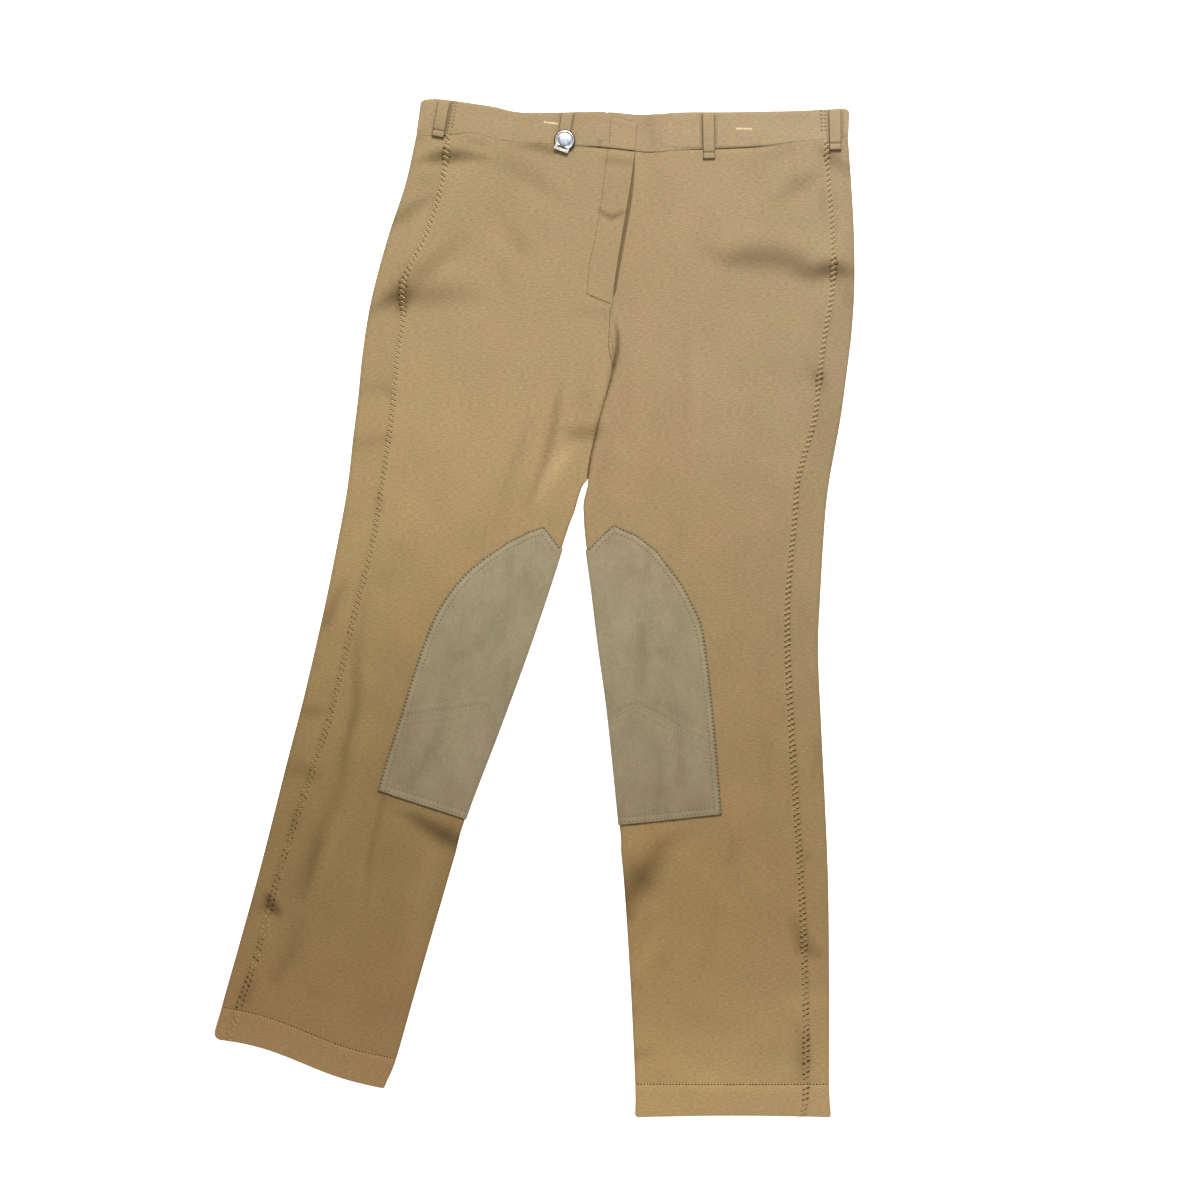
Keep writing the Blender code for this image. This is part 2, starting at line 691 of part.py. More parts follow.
def badge(metal):
    """A flat disc with a slotted tab at its lower edge, domed by a bevel."""
    half_tab = BADGE_TAB_WIDTH / 2.0
    start = math.acos(half_tab / BADGE_RADIUS)
    sweep = math.pi + 2.0 * start
    outline = [(BADGE_RADIUS * math.cos(a - start), BADGE_RADIUS * math.sin(a - start))
               for a in steps(0.0, sweep, 22)]
    outline += [(-half_tab, -BADGE_TAB_DROP), (half_tab, -BADGE_TAB_DROP)]
    base = BAND_TOP + SEAM_GAP + LOOP_BOW + LOOP_WALL + SEAM_GAP
    shape = bmesh.new()
    face = shape.faces.new([shape.verts.new((x * MM, y * MM, 0.0)) for x, y in outline])
    lifted = bmesh.ops.extrude_face_region(shape, geom=[face])
    for vertex in (v for v in lifted["geom"] if isinstance(v, bmesh.types.BMVert)):
        vertex.co.z = BADGE_WALL * MM
    bmesh.ops.recalc_face_normals(shape, faces=shape.faces)
    rim = [e for e in shape.edges if all(v.co.z > 0.5 * BADGE_WALL * MM for v in e.verts)]
    bmesh.ops.bevel(shape, geom=rim, offset=0.6 * MM, segments=2, profile=0.5, affect="EDGES")
    mesh = bpy.data.meshes.new("badge")
    shape.to_mesh(mesh)
    shape.free()
    mesh.materials.append(metal)
    mesh.shade_smooth()
    mesh.set_sharp_from_angle(angle=math.radians(40.0))
    disc = bpy.data.objects.new("badge", mesh)
    disc.location = (BADGE_X * MM, BADGE_Y * MM, base * MM)
    disc.rotation_euler = (0.0, 0.0, BADGE_TURN)
    bpy.context.scene.collection.objects.link(disc)

    bpy.ops.mesh.primitive_cube_add(size=1.0)
    slot = bpy.context.active_object
    slot.name = "badge_slot_cutter"
    slot.scale = (BADGE_SLOT_WIDTH * MM, BADGE_SLOT_HEIGHT * MM, 4.0 * BADGE_WALL * MM)
    middle = (BADGE_RADIUS + BADGE_TAB_DROP) / 2.0 - 0.4
    slot.location = (BADGE_X * MM + middle * MM * math.sin(BADGE_TURN),
                     BADGE_Y * MM - middle * MM * math.cos(BADGE_TURN), base * MM)
    slot.rotation_euler = (0.0, 0.0, BADGE_TURN)
    slot.hide_render = True
    slot.display_type = "WIRE"
    cut = disc.modifiers.new("slot", "BOOLEAN")
    cut.operation = "DIFFERENCE"
    cut.object = slot


# ------------------------------------------------------------------- assembly


def main():
    for old in list(bpy.data.objects):
        bpy.data.objects.remove(old, do_unlink=True)
    twill = material("stretch_twill", (0.44, 0.31, 0.16), 0.85)
    band_cloth = material("waistband_twill", (0.48, 0.34, 0.19), 0.85)
    suede = material("patch_suede", (0.32, 0.26, 0.16), 0.95)
    metal = material("badge_metal", (0.80, 0.80, 0.80), 0.30, 1.0)
    for leg in (RIGHT, LEFT):
        front_panel(leg, twill)
        back_panel(leg, twill)
        knee_patch(leg, suede)
    waistband(band_cloth)
    for loop in LOOPS:
        belt_loop(loop, band_cloth)
    badge(metal)


main()
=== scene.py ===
"""Riding breeches laid flat on a pale table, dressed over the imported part.

Lengths in the tables are in millimetres, in the part's own frame: +X to the left
leg, +Y up to the waist, +Z off the table.
"""
import math

import bpy
import numpy as np
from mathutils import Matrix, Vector
from mathutils.bvhtree import BVHTree


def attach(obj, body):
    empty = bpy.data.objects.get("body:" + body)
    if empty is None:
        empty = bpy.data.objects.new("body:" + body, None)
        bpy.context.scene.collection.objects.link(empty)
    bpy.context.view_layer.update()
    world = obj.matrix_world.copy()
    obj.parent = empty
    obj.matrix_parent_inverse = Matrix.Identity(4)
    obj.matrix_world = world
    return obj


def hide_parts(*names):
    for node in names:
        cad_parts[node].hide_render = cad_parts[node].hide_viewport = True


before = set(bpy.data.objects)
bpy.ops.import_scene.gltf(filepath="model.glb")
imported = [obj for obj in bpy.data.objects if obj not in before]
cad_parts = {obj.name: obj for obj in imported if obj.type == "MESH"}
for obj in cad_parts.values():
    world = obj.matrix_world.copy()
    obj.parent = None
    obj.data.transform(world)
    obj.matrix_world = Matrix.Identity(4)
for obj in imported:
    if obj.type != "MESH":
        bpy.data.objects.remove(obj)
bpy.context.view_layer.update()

MM = 0.001

# ------------------------------------------------------------------ table, light and camera
# The breeches lie front side up on a white table, lit a little from within so that they
# cast no shadow on it. A broad soft light stands past the waist, an even dim one comes from
# all round, and the camera looks straight down.

TABLE_HALF = 2.5
TABLE_DROP = 0.0002     # keeps the table just clear of the cloth that rests on it
TABLE_GLOW = 0.85
WORLD_STRENGTH = 0.62
KEY_SPOT, KEY_SIZE, KEY_POWER = (0.25, 2.3, 2.5), 1.0, 150.0
FIELD = 1.14            # metres of table across the picture
CAMERA_HEIGHT = 2.2
VIEW_X, VIEW_Y = 0.06175, 0.0076
SENSOR = 36.0


def fill(tree, node, inputs):
    """Sets a node's inputs to values, or joins them to sockets."""
    for key, value in inputs.items():
        if isinstance(value, bpy.types.NodeSocket):
            tree.links.new(value, node.inputs[key])
        else:
            node.inputs[key].default_value = value


def add(tree, kind, inputs=None, **settings):
    """A new node with its settings and its inputs."""
    node = tree.nodes.new(kind)
    for key, value in settings.items():
        setattr(node, key, value)
    fill(tree, node, inputs or {})
    return node


def sums(tree, operation, *values):
    """The result of a Math node on numbers or sockets."""
    return add(tree, "ShaderNodeMath", dict(enumerate(values)), operation=operation).outputs[0]


def noise(tree, place, scale, detail, **more):
    """The value of a Noise texture."""
    inputs = {"Vector": place, "Scale": scale, "Detail": detail, **more}
    return add(tree, "ShaderNodeTexNoise", inputs).outputs["Fac"]


def mapped(tree, value, low=0.0, high=1.0, least=0.0, most=1.0):
    """A value moved from the range low to high into the range least to most."""
    inputs = {"Value": value, "From Min": low, "From Max": high, "To Min": least, "To Max": most}
    return add(tree, "ShaderNodeMapRange", inputs).outputs["Result"]


def blank_material(name):
    """A new material, its tree, its shader, and the place on the object in metres."""
    made = bpy.data.materials.new(name)
    made.use_nodes = True
    tree = made.node_tree
    place = add(tree, "ShaderNodeTexCoord").outputs["Object"]
    return made, tree, tree.nodes["Principled BSDF"], place


table_mesh = bpy.data.meshes.new("table_top")
table_mesh.from_pydata(
    [(x * TABLE_HALF, y * TABLE_HALF, -TABLE_DROP) for x, y in ((-1, -1), (1, -1), (1, 1), (-1, 1))],
    [], [(0, 1, 2, 3)])
table_top = bpy.data.objects.new("table_top", table_mesh)
bpy.context.scene.collection.objects.link(table_top)
table_white, tree, shader, place = blank_material("table_white")
tone = mapped(tree, noise(tree, place, 60.0, 3.0), least=0.90, most=0.92)
shade = add(tree, "ShaderNodeCombineColor", {"Red": tone, "Green": tone, "Blue": tone}).outputs["Color"]
fill(tree, shader, {"Base Color": shade, "Emission Color": shade, "Emission Strength": TABLE_GLOW,
                    "Roughness": 0.9})
table_mesh.materials.append(table_white)

scene = bpy.context.scene
scene.view_settings.view_transform = "Standard"
world = bpy.data.worlds.new("even_light")
world.use_nodes = True
fill(world.node_tree, world.node_tree.nodes["Background"],
     {"Color": (1.0, 0.985, 0.965, 1.0), "Strength": WORLD_STRENGTH})
scene.world = world

lamp = bpy.data.lights.new("key_past_the_waist", "AREA")
lamp.shape = "SQUARE"
lamp.size = KEY_SIZE
lamp.energy = KEY_POWER
lamp.color = (1.0, 0.985, 0.96)
key_light = bpy.data.objects.new("key_past_the_waist", lamp)
key_light.location = KEY_SPOT
key_light.rotation_euler = (-Vector(KEY_SPOT)).to_track_quat("-Z", "Y").to_euler()
scene.collection.objects.link(key_light)

camera = bpy.data.objects.new("camera", bpy.data.cameras.new("camera"))
camera.data.sensor_width = SENSOR
camera.data.lens = SENSOR * CAMERA_HEIGHT / FIELD
camera.location = (VIEW_X, VIEW_Y, CAMERA_HEIGHT)
scene.collection.objects.link(camera)
scene.camera = camera

# -------------------------------------------------------------------------- the legs' form
# Each leg is a flat tube of stretch twill, a front and a back sewn at the side seam and
# the inseam. The tables give its folds and seams, and its layers' heights follow from them.

PANEL_WALL = 1.3
HEM_WALL = 1.9
BAND_WALL = 2.0
PATCH_WALL = 1.0
SEAM_GAP = 0.05         # between two pieces where they are sewn edge to edge
REST_GAP = 0.3          # under what lies on a panel
LAYER_GAP = 0.6
AIR_RAMP = 55.0         # the front rises from a fold to its full height over this
CREASE_RAMP = 24.0      # and the creases to their full depth over this
FLY_LAP = 27.0
HEM_SWING = 3.3         # the right hem hangs in a shallow S
FINE_STEPS = 1601       # places at which a leg's middle line is measured

# Stations down a leg, by the number of their row in the tables.
FLY_END = 3.4
FORK = 7.0
PATCH_TIP = 8.12
PATCH_CORNER = 8.43
PATCH_SEAM = 11.0
PATCH_HEM = 12.0
HEM_STITCH = 15.0
HEM = 16.0
# What changes on the way down a leg, in stations.
HEM_BLEND = 0.06        # the panels double at the hem's stitching
FORK_OPENS, FORK_CLOSES = 0.2, 0.8
CURL_RAMP = 0.35        # the inner edges turn in, below the fork
SINK_ABOVE, SINK_RAMP = 1.5, 1.9
PATCH_CLEAR = 12.12
LIFT_RAMPS = ((7.65, 0.35), (PATCH_CLEAR, 0.3))     # the back goes up over a patch, and down
RISE_RAMPS = ((6.2, 1.9), (PATCH_HEM, 1.6))         # and so does the front
WAIST_REACH = 2.6       # the waist's curve dies out
SWING_START, SWING_RAMP = 13.9, 1.1
FLAP_FADE = 0.4         # the fly's upper layer comes down, below its end
# What changes on the way across it, in millimetres from the inner edge or the patch's edge.
BACK_LIFT_START, BACK_LIFT_RAMP = 18.0, 15.0
RISE_START, RISE_RAMP = 120.0, 80.0
FLAP_START, FLAP_RAMP = 48.0, 15.0
BACK_CLEAR = 20.0       # the back lies smooth this far from a patch
BACK_CREASE = 0.35      # mm that the back's creases stand off the table
LEAST_GAP = 0.7 * LAYER_GAP     # between the two layers where they are pressed together
GAP_SOFTNESS = 0.05     # and how gently they come to rest on each other


def table(names, *rows):
    """A table as its named columns, each an array."""
    return dict(zip(names.split(), np.array(rows, dtype=float).T))


LEG_COLUMNS = "outer_x outer_y inner_x inner_y seam_in air"
RIGHT_ROWS = table(
    LEG_COLUMNS,
    (-113, 447.5, 95, 433.5, 27.5, 0.9),
    (-123.2, 402, 90, 397, 31.5, 1.6),
    (-138.5, 356, 82.5, 352.5, 32.5, 2.1),
    (-151, 311.5, 75, 304, 23.5, 2.5),
    (-158.5, 277.5, 72, 264, 30, 2.6),
    (-164.5, 235.5, 74, 226, 30, 2.6),
    (-168, 199.5, 61.5, 178.5, 30.5, 2.6),
    (-173, 159.5, 50.5, 123.5, 30.5, 2.5),
    (-178.5, 112, 34, 79, 29, 2.4),
    (-188, 60, 16.5, 24, 29.5, 2.3),
    (-200.5, -2, -5.5, -41, 26, 2.2),
    (-219.5, -84.5, -33.5, -117, 26, 2.1),
    (-235, -144.5, -65, -200.5, 22.5, 2),
    (-259.5, -241.5, -90.5, -285, 15.5, 1.9),
    (-281, -320, -114, -366, 16, 1.6),
    (-297.5, -378.5, -131.5, -427.5, 13, 1.2),
    (-304.2, -409, -142, -456, 10.5, 0.9),
)
LEFT_ROWS = table(
    LEG_COLUMNS,
    (297.5, 444.5, 95, 433.5, 18, 0.9),
    (300.5, 402, 90, 397, 18, 1.6),
    (303, 356, 82.5, 352.5, 17, 2.1),
    (303.5, 307, 75, 304, 17.5, 2.5),
    (301, 264, 72, 264, 21.5, 2.6),
    (296.5, 226, 74, 226, 22.5, 2.6),
    (290, 178.5, 61.5, 178.5, 21.5, 2.6),
    (280, 123.5, 50.5, 123.5, 26.5, 2.5),
    (275.5, 85.5, 45, 85.5, 25.5, 2.4),
    (271, 12.5, 53.5, 12.5, 27.5, 2.3),
    (269, -40, 60, -40, 26, 2.2),
    (271.5, -103.5, 68.5, -103.5, 25.5, 2.1),
    (275.5, -185, 79, -206, 24.5, 2),
    (278.5, -262, 85, -268, 22.5, 1.9),
    (279.5, -363, 91, -363, 19.5, 1.6),
    (279.5, -452, 95, -452, 19, 1.2),
    (281, -483, 95, -483, 23.5, 0.9),
)
BAND_ROWS = table(
    "seam_x seam_y top_x top_y",
    (-113, 447.5, -109, 481.5),
    (-98, 448, -96, 483),
    (-85.5, 448.3, -80.5, 481.7),
    (-60, 450.5, -58, 478.5),
    (-40, 445.5, -39, 475.5),
    (-18, 441.5, -16, 470.5),
    (13, 440, 14, 470),
    (45, 438.5, 47, 470.7),
    (72, 436, 73, 470.3),
    (95, 433.5, 97.5, 468),
    (112, 432.5, 112, 468.5),
    (140, 434.5, 141, 470.3),
    (176, 435.8, 177, 470.5),
    (214, 438, 215, 471),
    (245, 441.8, 246, 471.6),
    (279.5, 444.3, 277, 473),
    (297.5, 444.5, 298.5, 474.2),
)
# How far a knee patch reaches over the front, from the leg's inner edge.
RIGHT_PATCH = table(
    "station front",
    (0, 31), (4, 31), (7.6, 23), (8.12, 25), (8.25, 36), (8.47, 51),
    (8.89, 72), (9.28, 85.5), (9.73, 94), (10.3, 96), (11, 93), (12, 86.5),
)
LEFT_PATCH = table(
    "station front",
    (0, 31), (4, 31), (7.6, 27), (8.12, 30), (8.25, 49), (8.44, 66.5),
    (8.87, 86.5), (9.47, 99), (10.3, 100.5), (12, 97),
)
PATCH_BACK_SHARE = 0.72
# The seam across a patch: its rise above the station, at shares of the way inwards.
RIGHT_BEND = table("share rise", (0, -3), (0.79, 21), (1, 0))
LEFT_BEND = table("share rise", (0, -27), (0.73, 13), (1, 0))
STATION_STEP = 78.0
BEND_FADE = 0.9

# How the upper layer has settled, with shade and light painted on it. Each line's points give a
# place, a half width and how strongly the cloth falls there (amount > 0, painted darker as shade)
# or stands (amount < 0, painted paler as light). The cloth is higher on the line's left. A line
# of one point is a dimple.
SETTLED = (
    # right hip
    ((-112, 423, 4, 0.12), (-104, 426, 4.5, 0.24), (-96, 427, 5.5, 0.46), (-87, 428.5, 6.5, 0.60),
     (-77, 428.5, 6.5, 0.56), (-68, 429, 6, 0.40), (-60, 428, 5, 0.30), (-44, 425, 3.5, 0.08)),
    ((-104, 402, 8, 0.09), (-92, 408, 7, 0.05)),
    ((-108, 446, 4, 0.14),),
    ((-64, 443, 3.5, 0.06), (-50, 441, 3.5, 0.14)),
    ((-136, 365, 6, 0.22), (-122, 375, 7, 0.28), (-108, 385, 6, 0.18), (-88, 393, 6, 0.02)),
    ((-154, 282, 6, 0.12), (-145, 288, 6.5, 0.30), (-136, 294, 9, 0.50), (-127, 295, 12, 0.76),
     (-115, 297, 10.5, 0.40), (-104, 296, 13.5, 0.26), (-84, 297, 13, 0.20), (-66, 296, 10, 0.15),
     (-50, 294, 7, 0.03)),
    ((-128, 319, 12, 0.07),),
    ((-118, 309, 9, 0.16), (-104, 320, 9, 0.21), (-86, 335, 9, 0.14), (-70, 350, 8, 0.05)),
    ((-104, 366, 9, -0.03), (-112, 348, 8, -0.04)),
    ((-82, 322, 12, -0.05), (-56, 322, 10, -0.03)),
    ((-14, 438, 3.5, 0.10), (4, 437, 5, 0.28), (16, 434, 5, 0.28)),
    ((-46, 427, 9, 0.04), (-22, 418, 9, 0.11), (4, 404, 9, 0.12), (24, 390, 9, 0.07)),
    ((-40, 390, 7, 0.02), (-25, 366, 8, 0.05), (-13, 344, 7.5, 0.13), (-6, 332, 7, 0.02)),
    ((-34, 329, 6, 0.05), (-27, 303, 6, 0.05)),
    # right thigh, folded towards the fork
    ((26, 214, 4, 0.04), (21, 190, 4.5, 0.22), (15, 158, 5, 0.27), (9, 137, 5, 0.25),
     (0, 112, 5, 0.18), (-9, 90, 5, 0.04)),
    ((-2, 186, 6, 0.02), (-11, 158, 6, 0.11), (-22, 128, 7, 0.09), (-35, 82, 8, 0.04)),
    ((40, 156, 6, -0.10), (28, 144, 8, -0.25), (15, 124, 8, -0.29), (3, 104, 6, -0.19)),
    ((16, 84, 7, 0.07),),
    ((27, 168, 5, 0.06), (42, 165, 9, 0.27), (56, 167, 8, 0.28)),
    ((50, 224, 9, 0.04), (48, 190, 10, 0.09)),
    ((-165, 208, 8, 0.07), (-146, 209, 8, 0.10), (-137, 204, 6, 0.12)),
    ((-170, 157, 9, 0.12), (-150, 159, 8, 0.08), (-139, 161, 5, 0.14)),
    ((-148, 102, 6, 0.08), (-147, 94, 6, 0.08)),
    # right knee and calf
    ((-180, 24, 5, 0.10), (-188, 10, 5.5, 0.24), (-197, -12, 5.5, 0.30), (-202, -24, 5, 0.06)),
    ((-160, 10, 6, 0.04), (-167, -24, 6, 0.13), (-169, -58, 6, 0.20), (-169, -92, 4.5, 0.24),
     (-174, -112, 4.5, 0.26), (-180, -136, 5, 0.23), (-184, -166, 7, 0.14), (-192, -188, 8, 0.13),
     (-203, -211, 8, 0.19), (-208, -234, 8, 0.26), (-213, -252, 7.5, 0.28), (-220, -274, 6, 0.10)),
    ((-157, -60, 7, -0.02), (-159, -110, 7, -0.05), (-167, -160, 8, -0.04), (-178, -196, 8, -0.06),
     (-199, -240, 7, -0.10), (-212, -276, 6, -0.04)),
    ((-223, -97, 6, 0.20), (-208, -98, 6, 0.18), (-198, -99, 5, 0.03)),
    ((-236, -152, 8, 0.14), (-222, -153, 8, 0.16), (-210, -158, 6, 0.14)),
    ((-227, -198, 6, 0.12), (-230, -206, 6, 0.10)),
    ((-206, -55, 3, 0.14),),
    ((-253, -275, 4, 0.50), (-250, -281, 5.5, 0.58), (-245, -287, 4.5, 0.50)),
    ((-266, -282, 5, 0.10), (-256, -283, 5, 0.14)),
    ((-258, -302, 9, -0.09), (-253, -310, 9, -0.09)),
    ((-222, -300, 8, 0.10), (-231, -328, 9, 0.21), (-246, -350, 8, 0.18)),
    ((-206, -217, 8, 0.07), (-216, -240, 10, 0.08), (-228, -266, 10, 0.06)),
    ((-268, -356, 6, 0.16), (-276, -371, 6.5, 0.26), (-281, -380, 5, 0.08)),
    ((-208, -364, 7, 0.07),),
    ((-129, -194, 3, 0.08), (-112, -200, 7, 0.34), (-97, -209, 8.5, 0.50), (-84, -216, 9.5, 0.60),
     (-72, -222, 9, 0.50)),
    ((-97, -236, 10, -0.14), (-105, -262, 13, -0.15), (-113, -300, 14, -0.10), (-120, -330, 10, -0.02)),
    ((-143, -176, 3, 0.16), (-147, -196, 3.5, 0.18), (-153, -218, 4, 0.16), (-158, -246, 4, 0.12),
     (-163, -282, 4, 0.03)),
    ((-159, -214, 5, -0.04), (-164, -246, 5, -0.05), (-168, -280, 5, -0.03)),
    ((-158, -384, 16, 0.07), (-128, -376, 12, 0.07)),
    ((-112, -306, 10, -0.03), (-120, -345, 9, -0.04)),
    # left hip
    ((158, 343, 8, 0.02), (170, 336, 8, 0.10), (185, 330, 10, 0.24), (200, 332, 12, 0.31),
     (215, 332, 12, 0.34), (230, 331, 12, 0.34), (244, 327, 12, 0.34), (255, 320, 10.5, 0.38),
     (264, 318, 9.5, 0.42), (276, 320.5, 8.5, 0.58), (290, 320, 8.5, 0.50), (301, 318, 8, 0.28)),
    ((186, 357, 10, -0.03), (225, 355, 11, -0.05), (280, 346, 10, -0.05)),
    ((268, 436, 5, 0.10), (282, 427, 7, 0.32), (296, 415, 7, 0.20)),
    ((232, 388, 9, 0.07), (250, 402, 8.5, 0.19), (266, 411, 6, 0.08)),
    ((222, 429, 8, 0.06), (240, 436, 7, 0.09)),
    ((272, 396, 3.5, 0.04), (274, 384, 3.5, 0.10), (273, 370, 3.5, 0.05)),
    ((262, 226, 8, 0.10), (269, 218, 7.5, 0.24), (272, 209, 6, 0.10)),
    ((295, 301, 6, 0.12), (298, 290, 6, 0.14)),
    ((286, 182, 8, 0.05), (282, 158, 8, 0.05)),
    # left thigh
    ((153.5, 256, 5, -0.03), (153.5, 200, 5, -0.05), (152, 138, 5, -0.02)),
    ((143, 256, 5, 0.03), (143, 200, 5, 0.05), (142, 138, 5, 0.02)),
    ((88, 235, 6, 0.03), (88, 162, 6, 0.04)),
    ((112, 424, 12, 0.07), (120, 392, 14, 0.06), (124, 366, 12, 0.02)),
    ((270, 276, 9, 0.05), (268, 232, 9, 0.05), (268, 176, 9, 0.04)),
    ((104, 140, 8, 0.02), (110, 112, 8, 0.04), (112, 84, 8, 0.03)),
    ((84, 205, 10, 0.05), (68, 150, 10, 0.07), (60, 110, 10, 0.07)),
    ((76.5, 271, 1.7, 0.10), (78.6, 257, 2.4, 0.46), (78.2, 243, 2.8, 0.56), (75.6, 232, 2.8, 0.66),
     (74, 224, 2.4, 0.50), (68.5, 203, 2.4, 0.28), (60, 176, 2.4, 0.26), (51, 126, 2.0, 0.14)),
    ((74.3, 266, 1.8, -0.07), (74.6, 250, 1.8, -0.03)),
    # left knee and calf
    ((82, -281, 11, 0.42), (91, -268, 14, 0.46), (101, -256, 15, 0.58), (112, -240, 11, 0.30),
     (121, -224, 8, 0.20), (138, -216, 8, 0.08), (154, -210, 7, 0.02)),
    ((96, -216, 9, -0.12), (90, -222, 7, -0.10)),
    ((160, -216, 8, -0.02), (136, -238, 8, -0.05), (122, -262, 9, -0.03)),
    ((90, -292, 6, 0.20),),
    ((98, -342, 8, -0.08), (110, -322, 8, -0.11), (118, -308, 6, -0.05)),
    ((121, -336, 7, 0.06),),
    ((94, -357, 4, 0.10), (99, -360, 4, 0.08)),
    ((95, -382, 4, 0.14),),
    ((97, -424, 5.5, 0.20), (108, -421, 5, 0.08)),
    ((242, -292, 6, 0.05), (251, -308, 8, 0.25), (255, -321, 8.5, 0.36), (268, -328, 6, 0.20)),
    ((258, -236, 6, 0.10),),
    ((240, -374, 10, -0.07), (256, -374, 12, -0.12), (272, -371, 10, -0.10)),
    ((248, -396, 6, 0.06), (253, -412, 9, 0.20), (254, -430, 9, 0.27), (252, -444, 7, 0.13)),
    ((268, -126, 6, 0.10), (268, -146, 6, 0.14), (266, -158, 6, 0.08)),
    ((214, -42, 6, 0.05), (214, -68, 6, 0.05)),
    ((220, -126, 7, 0.05), (219, -165, 7, 0.05)),
    ((188, -218, 8, 0.07), (185, -240, 8, 0.07)),
    ((229, -238, 9, 0.05),),
    ((170, -288, 7, 0.06), (162, -338, 7, 0.06)),
    ((150, -388, 12, 0.05), (190, -396, 12, 0.03)),
    ((128, -436, 10, -0.04), (168, -446, 10, -0.05)),
    ((206, -424, 12, 0.03), (228, -420, 13, 0.06)),
    ((250, 0, 2.5, 0.04), (263, -19, 2.5, 0.06)),
    ((252, -49, 3, 0.04), (267, -78, 3, 0.06)),
    ((254, -116, 2.5, -0.04), (268, -118, 2.5, -0.04)),
    # the two dents where the fly's layers end
    ((69, 424, 4, 0.16), (90, 422, 4, 0.15)),
    ((60, 377, 1.6, 0.20), (64, 374.5, 2.2, 0.34), (73, 369.5, 2.8, 0.34), (80, 373, 2.6, 0.28),
     (86, 376, 2, 0.12)),
    ((100, -447, 6, -0.03), (160, -449, 6, -0.05), (228, -449, 6, -0.04)),
    # on the patches
    ((-112, -66, 14, 0.04), (-122, -110, 15, 0.11), (-132, -150, 15, 0.14), (-140, -174, 12, 0.14)),
    ((62, 74, 10, -0.05),),
    ((-54, -116, 13, -0.06), (-62, -142, 11, -0.06)),
    ((-30, -42, 9, -0.05),),
    ((-76, -52, 7, 0.02), (-80, -68, 7, 0.07), (-89, -87, 6, 0.07)),
    ((-52, -34, 7, 0.12),),
    ((-75, -46, 7, 0.07),),
    ((-26, -62, 6, 0.08), (-30, -98, 6, 0.08)),
    ((-84, -105, 6, 0.04), (-96, -125, 7, 0.12), (-107, -150, 7, 0.15), (-118, -170, 6, 0.14)),
    ((-76, -124, 9, -0.05), (-66, -158, 11, -0.07)),
    ((-20, 60, 9, -0.03),),
    ((97, 34, 6, 0.05), (104, 28, 6, 0.04)),
    ((103, -20, 5.5, 0.10), (101, -44, 6, 0.12), (99, -74, 5, 0.12)),
    ((120, -42, 6, 0.08),),
    ((116, -90, 6, 0.05), (132, -99, 8, 0.11), (146, -107, 6, 0.08)),
    ((118, -138, 6, 0.10), (117, -175, 6, 0.10)),
    ((138, -143, 5, 0.12), (137, -166, 5, 0.10)),
    ((68, 22, 13, -0.05),),
    ((126, -118, 6, -0.06), (127, -130, 6, -0.04)),
    ((156, -146, 8, -0.05), (164, -176, 8, -0.04)),
    # on the band, with painted shade along its seam to the fronts
    ((109, 467, 7, 0.12), (112, 442, 8, 0.16)),
    ((62, 441, 2.6, 0.34),),
    ((265, 468, 12, -0.03), (266, 450, 12, -0.03)),
    ((120, 437.4, 1.2, 0.10), (148, 436.2, 1.2, 0.30), (172, 436.3, 1.3, 0.40), (200, 437, 1.3, 0.40),
     (222, 438.4, 1.2, 0.22), (236, 440, 1.2, 0.05)),
    ((32, 438.4, 1.2, 0.12), (62, 437, 1.2, 0.22), (92, 434.5, 1.2, 0.16)),
    # painted shadows beside the belt loops
    ((-78.8, 480, 1.5, 0.38), (-84.8, 449, 1.5, 0.44)),
    ((-91.8, 478, 1.2, 0.22), (-97.6, 449, 1.2, 0.28)),
    ((37.4, 468, 1.4, 0.30), (34.4, 452, 1.4, 0.20)),
    ((24.6, 468, 1.2, 0.20), (21.4, 452, 1.2, 0.20)),
    ((158.2, 468, 1.6, 0.40), (159.0, 440, 1.6, 0.40)),
    ((170.9, 467, 1.2, 0.28), (171.8, 440, 1.2, 0.28)),
    ((278.7, 470, 1.5, 0.34), (279.0, 446, 1.5, 0.36)),
    ((291.4, 470, 1.2, 0.26), (291.8, 446, 1.2, 0.26)),
)
# Shallow creases of the underside, raised a little off the table, with shade painted darker in them.
UNDER_CREASES = (
    ((-20, 330, 12, 0.02), (20, 300, 14, 0.12), (60, 250, 13, 0.10), (74, 236, 10, 0.03)),
    ((10, 270, 10, 0.03), (36, 238, 11, 0.15), (55, 205, 10, 0.12)),
    ((192, 322, 12, 0.02), (150, 285, 15, 0.13), (105, 240, 13, 0.08)),
    ((150, 250, 10, 0.04), (120, 218, 11, 0.14), (95, 190, 10, 0.08)),
    ((-122, 62, 11, 0.03), (-80, 44, 12, 0.10), (-40, 30, 11, 0.05)),
    ((110, 60, 12, 0.04), (150, 48, 13, 0.10), (190, 40, 11, 0.03)),
    ((-150, -250, 9, 0.03), (-138, -290, 9, 0.10), (-120, -330, 9, 0.03)),
    ((168, -255, 9, 0.02), (174, -310, 10, 0.10), (176, -362, 9, 0.03)),
    ((-210, -130, 8, 0.10), (-196, -160, 8, 0.04)),
    ((250, -90, 8, 0.08), (236, -140, 9, 0.10), (230, -170, 8, 0.03)),
)
FALL = 3.2              # mm that the cloth steps down, for an amount of 1
FALL_REACH = 1.35
HOLLOW = 1.6            # mm that it lies hollow along the line
SHADE_SHARE = 0.95       # of the amount that is painted on the cloth as shade, or as light where it is below 0
# Long slow waves of cloth that lies loose: their length and heading, height and start.
WAVES = table(
    "length heading height phase",
    (95.0, 0.35, 0.16, 0.4),
    (61.0, 1.25, 0.12, 2.1),
    (143.0, 2.20, 0.20, 4.0),
    (44.0, 2.75, 0.07, 1.1),
    (29.0, 0.80, 0.05, 5.2),
)


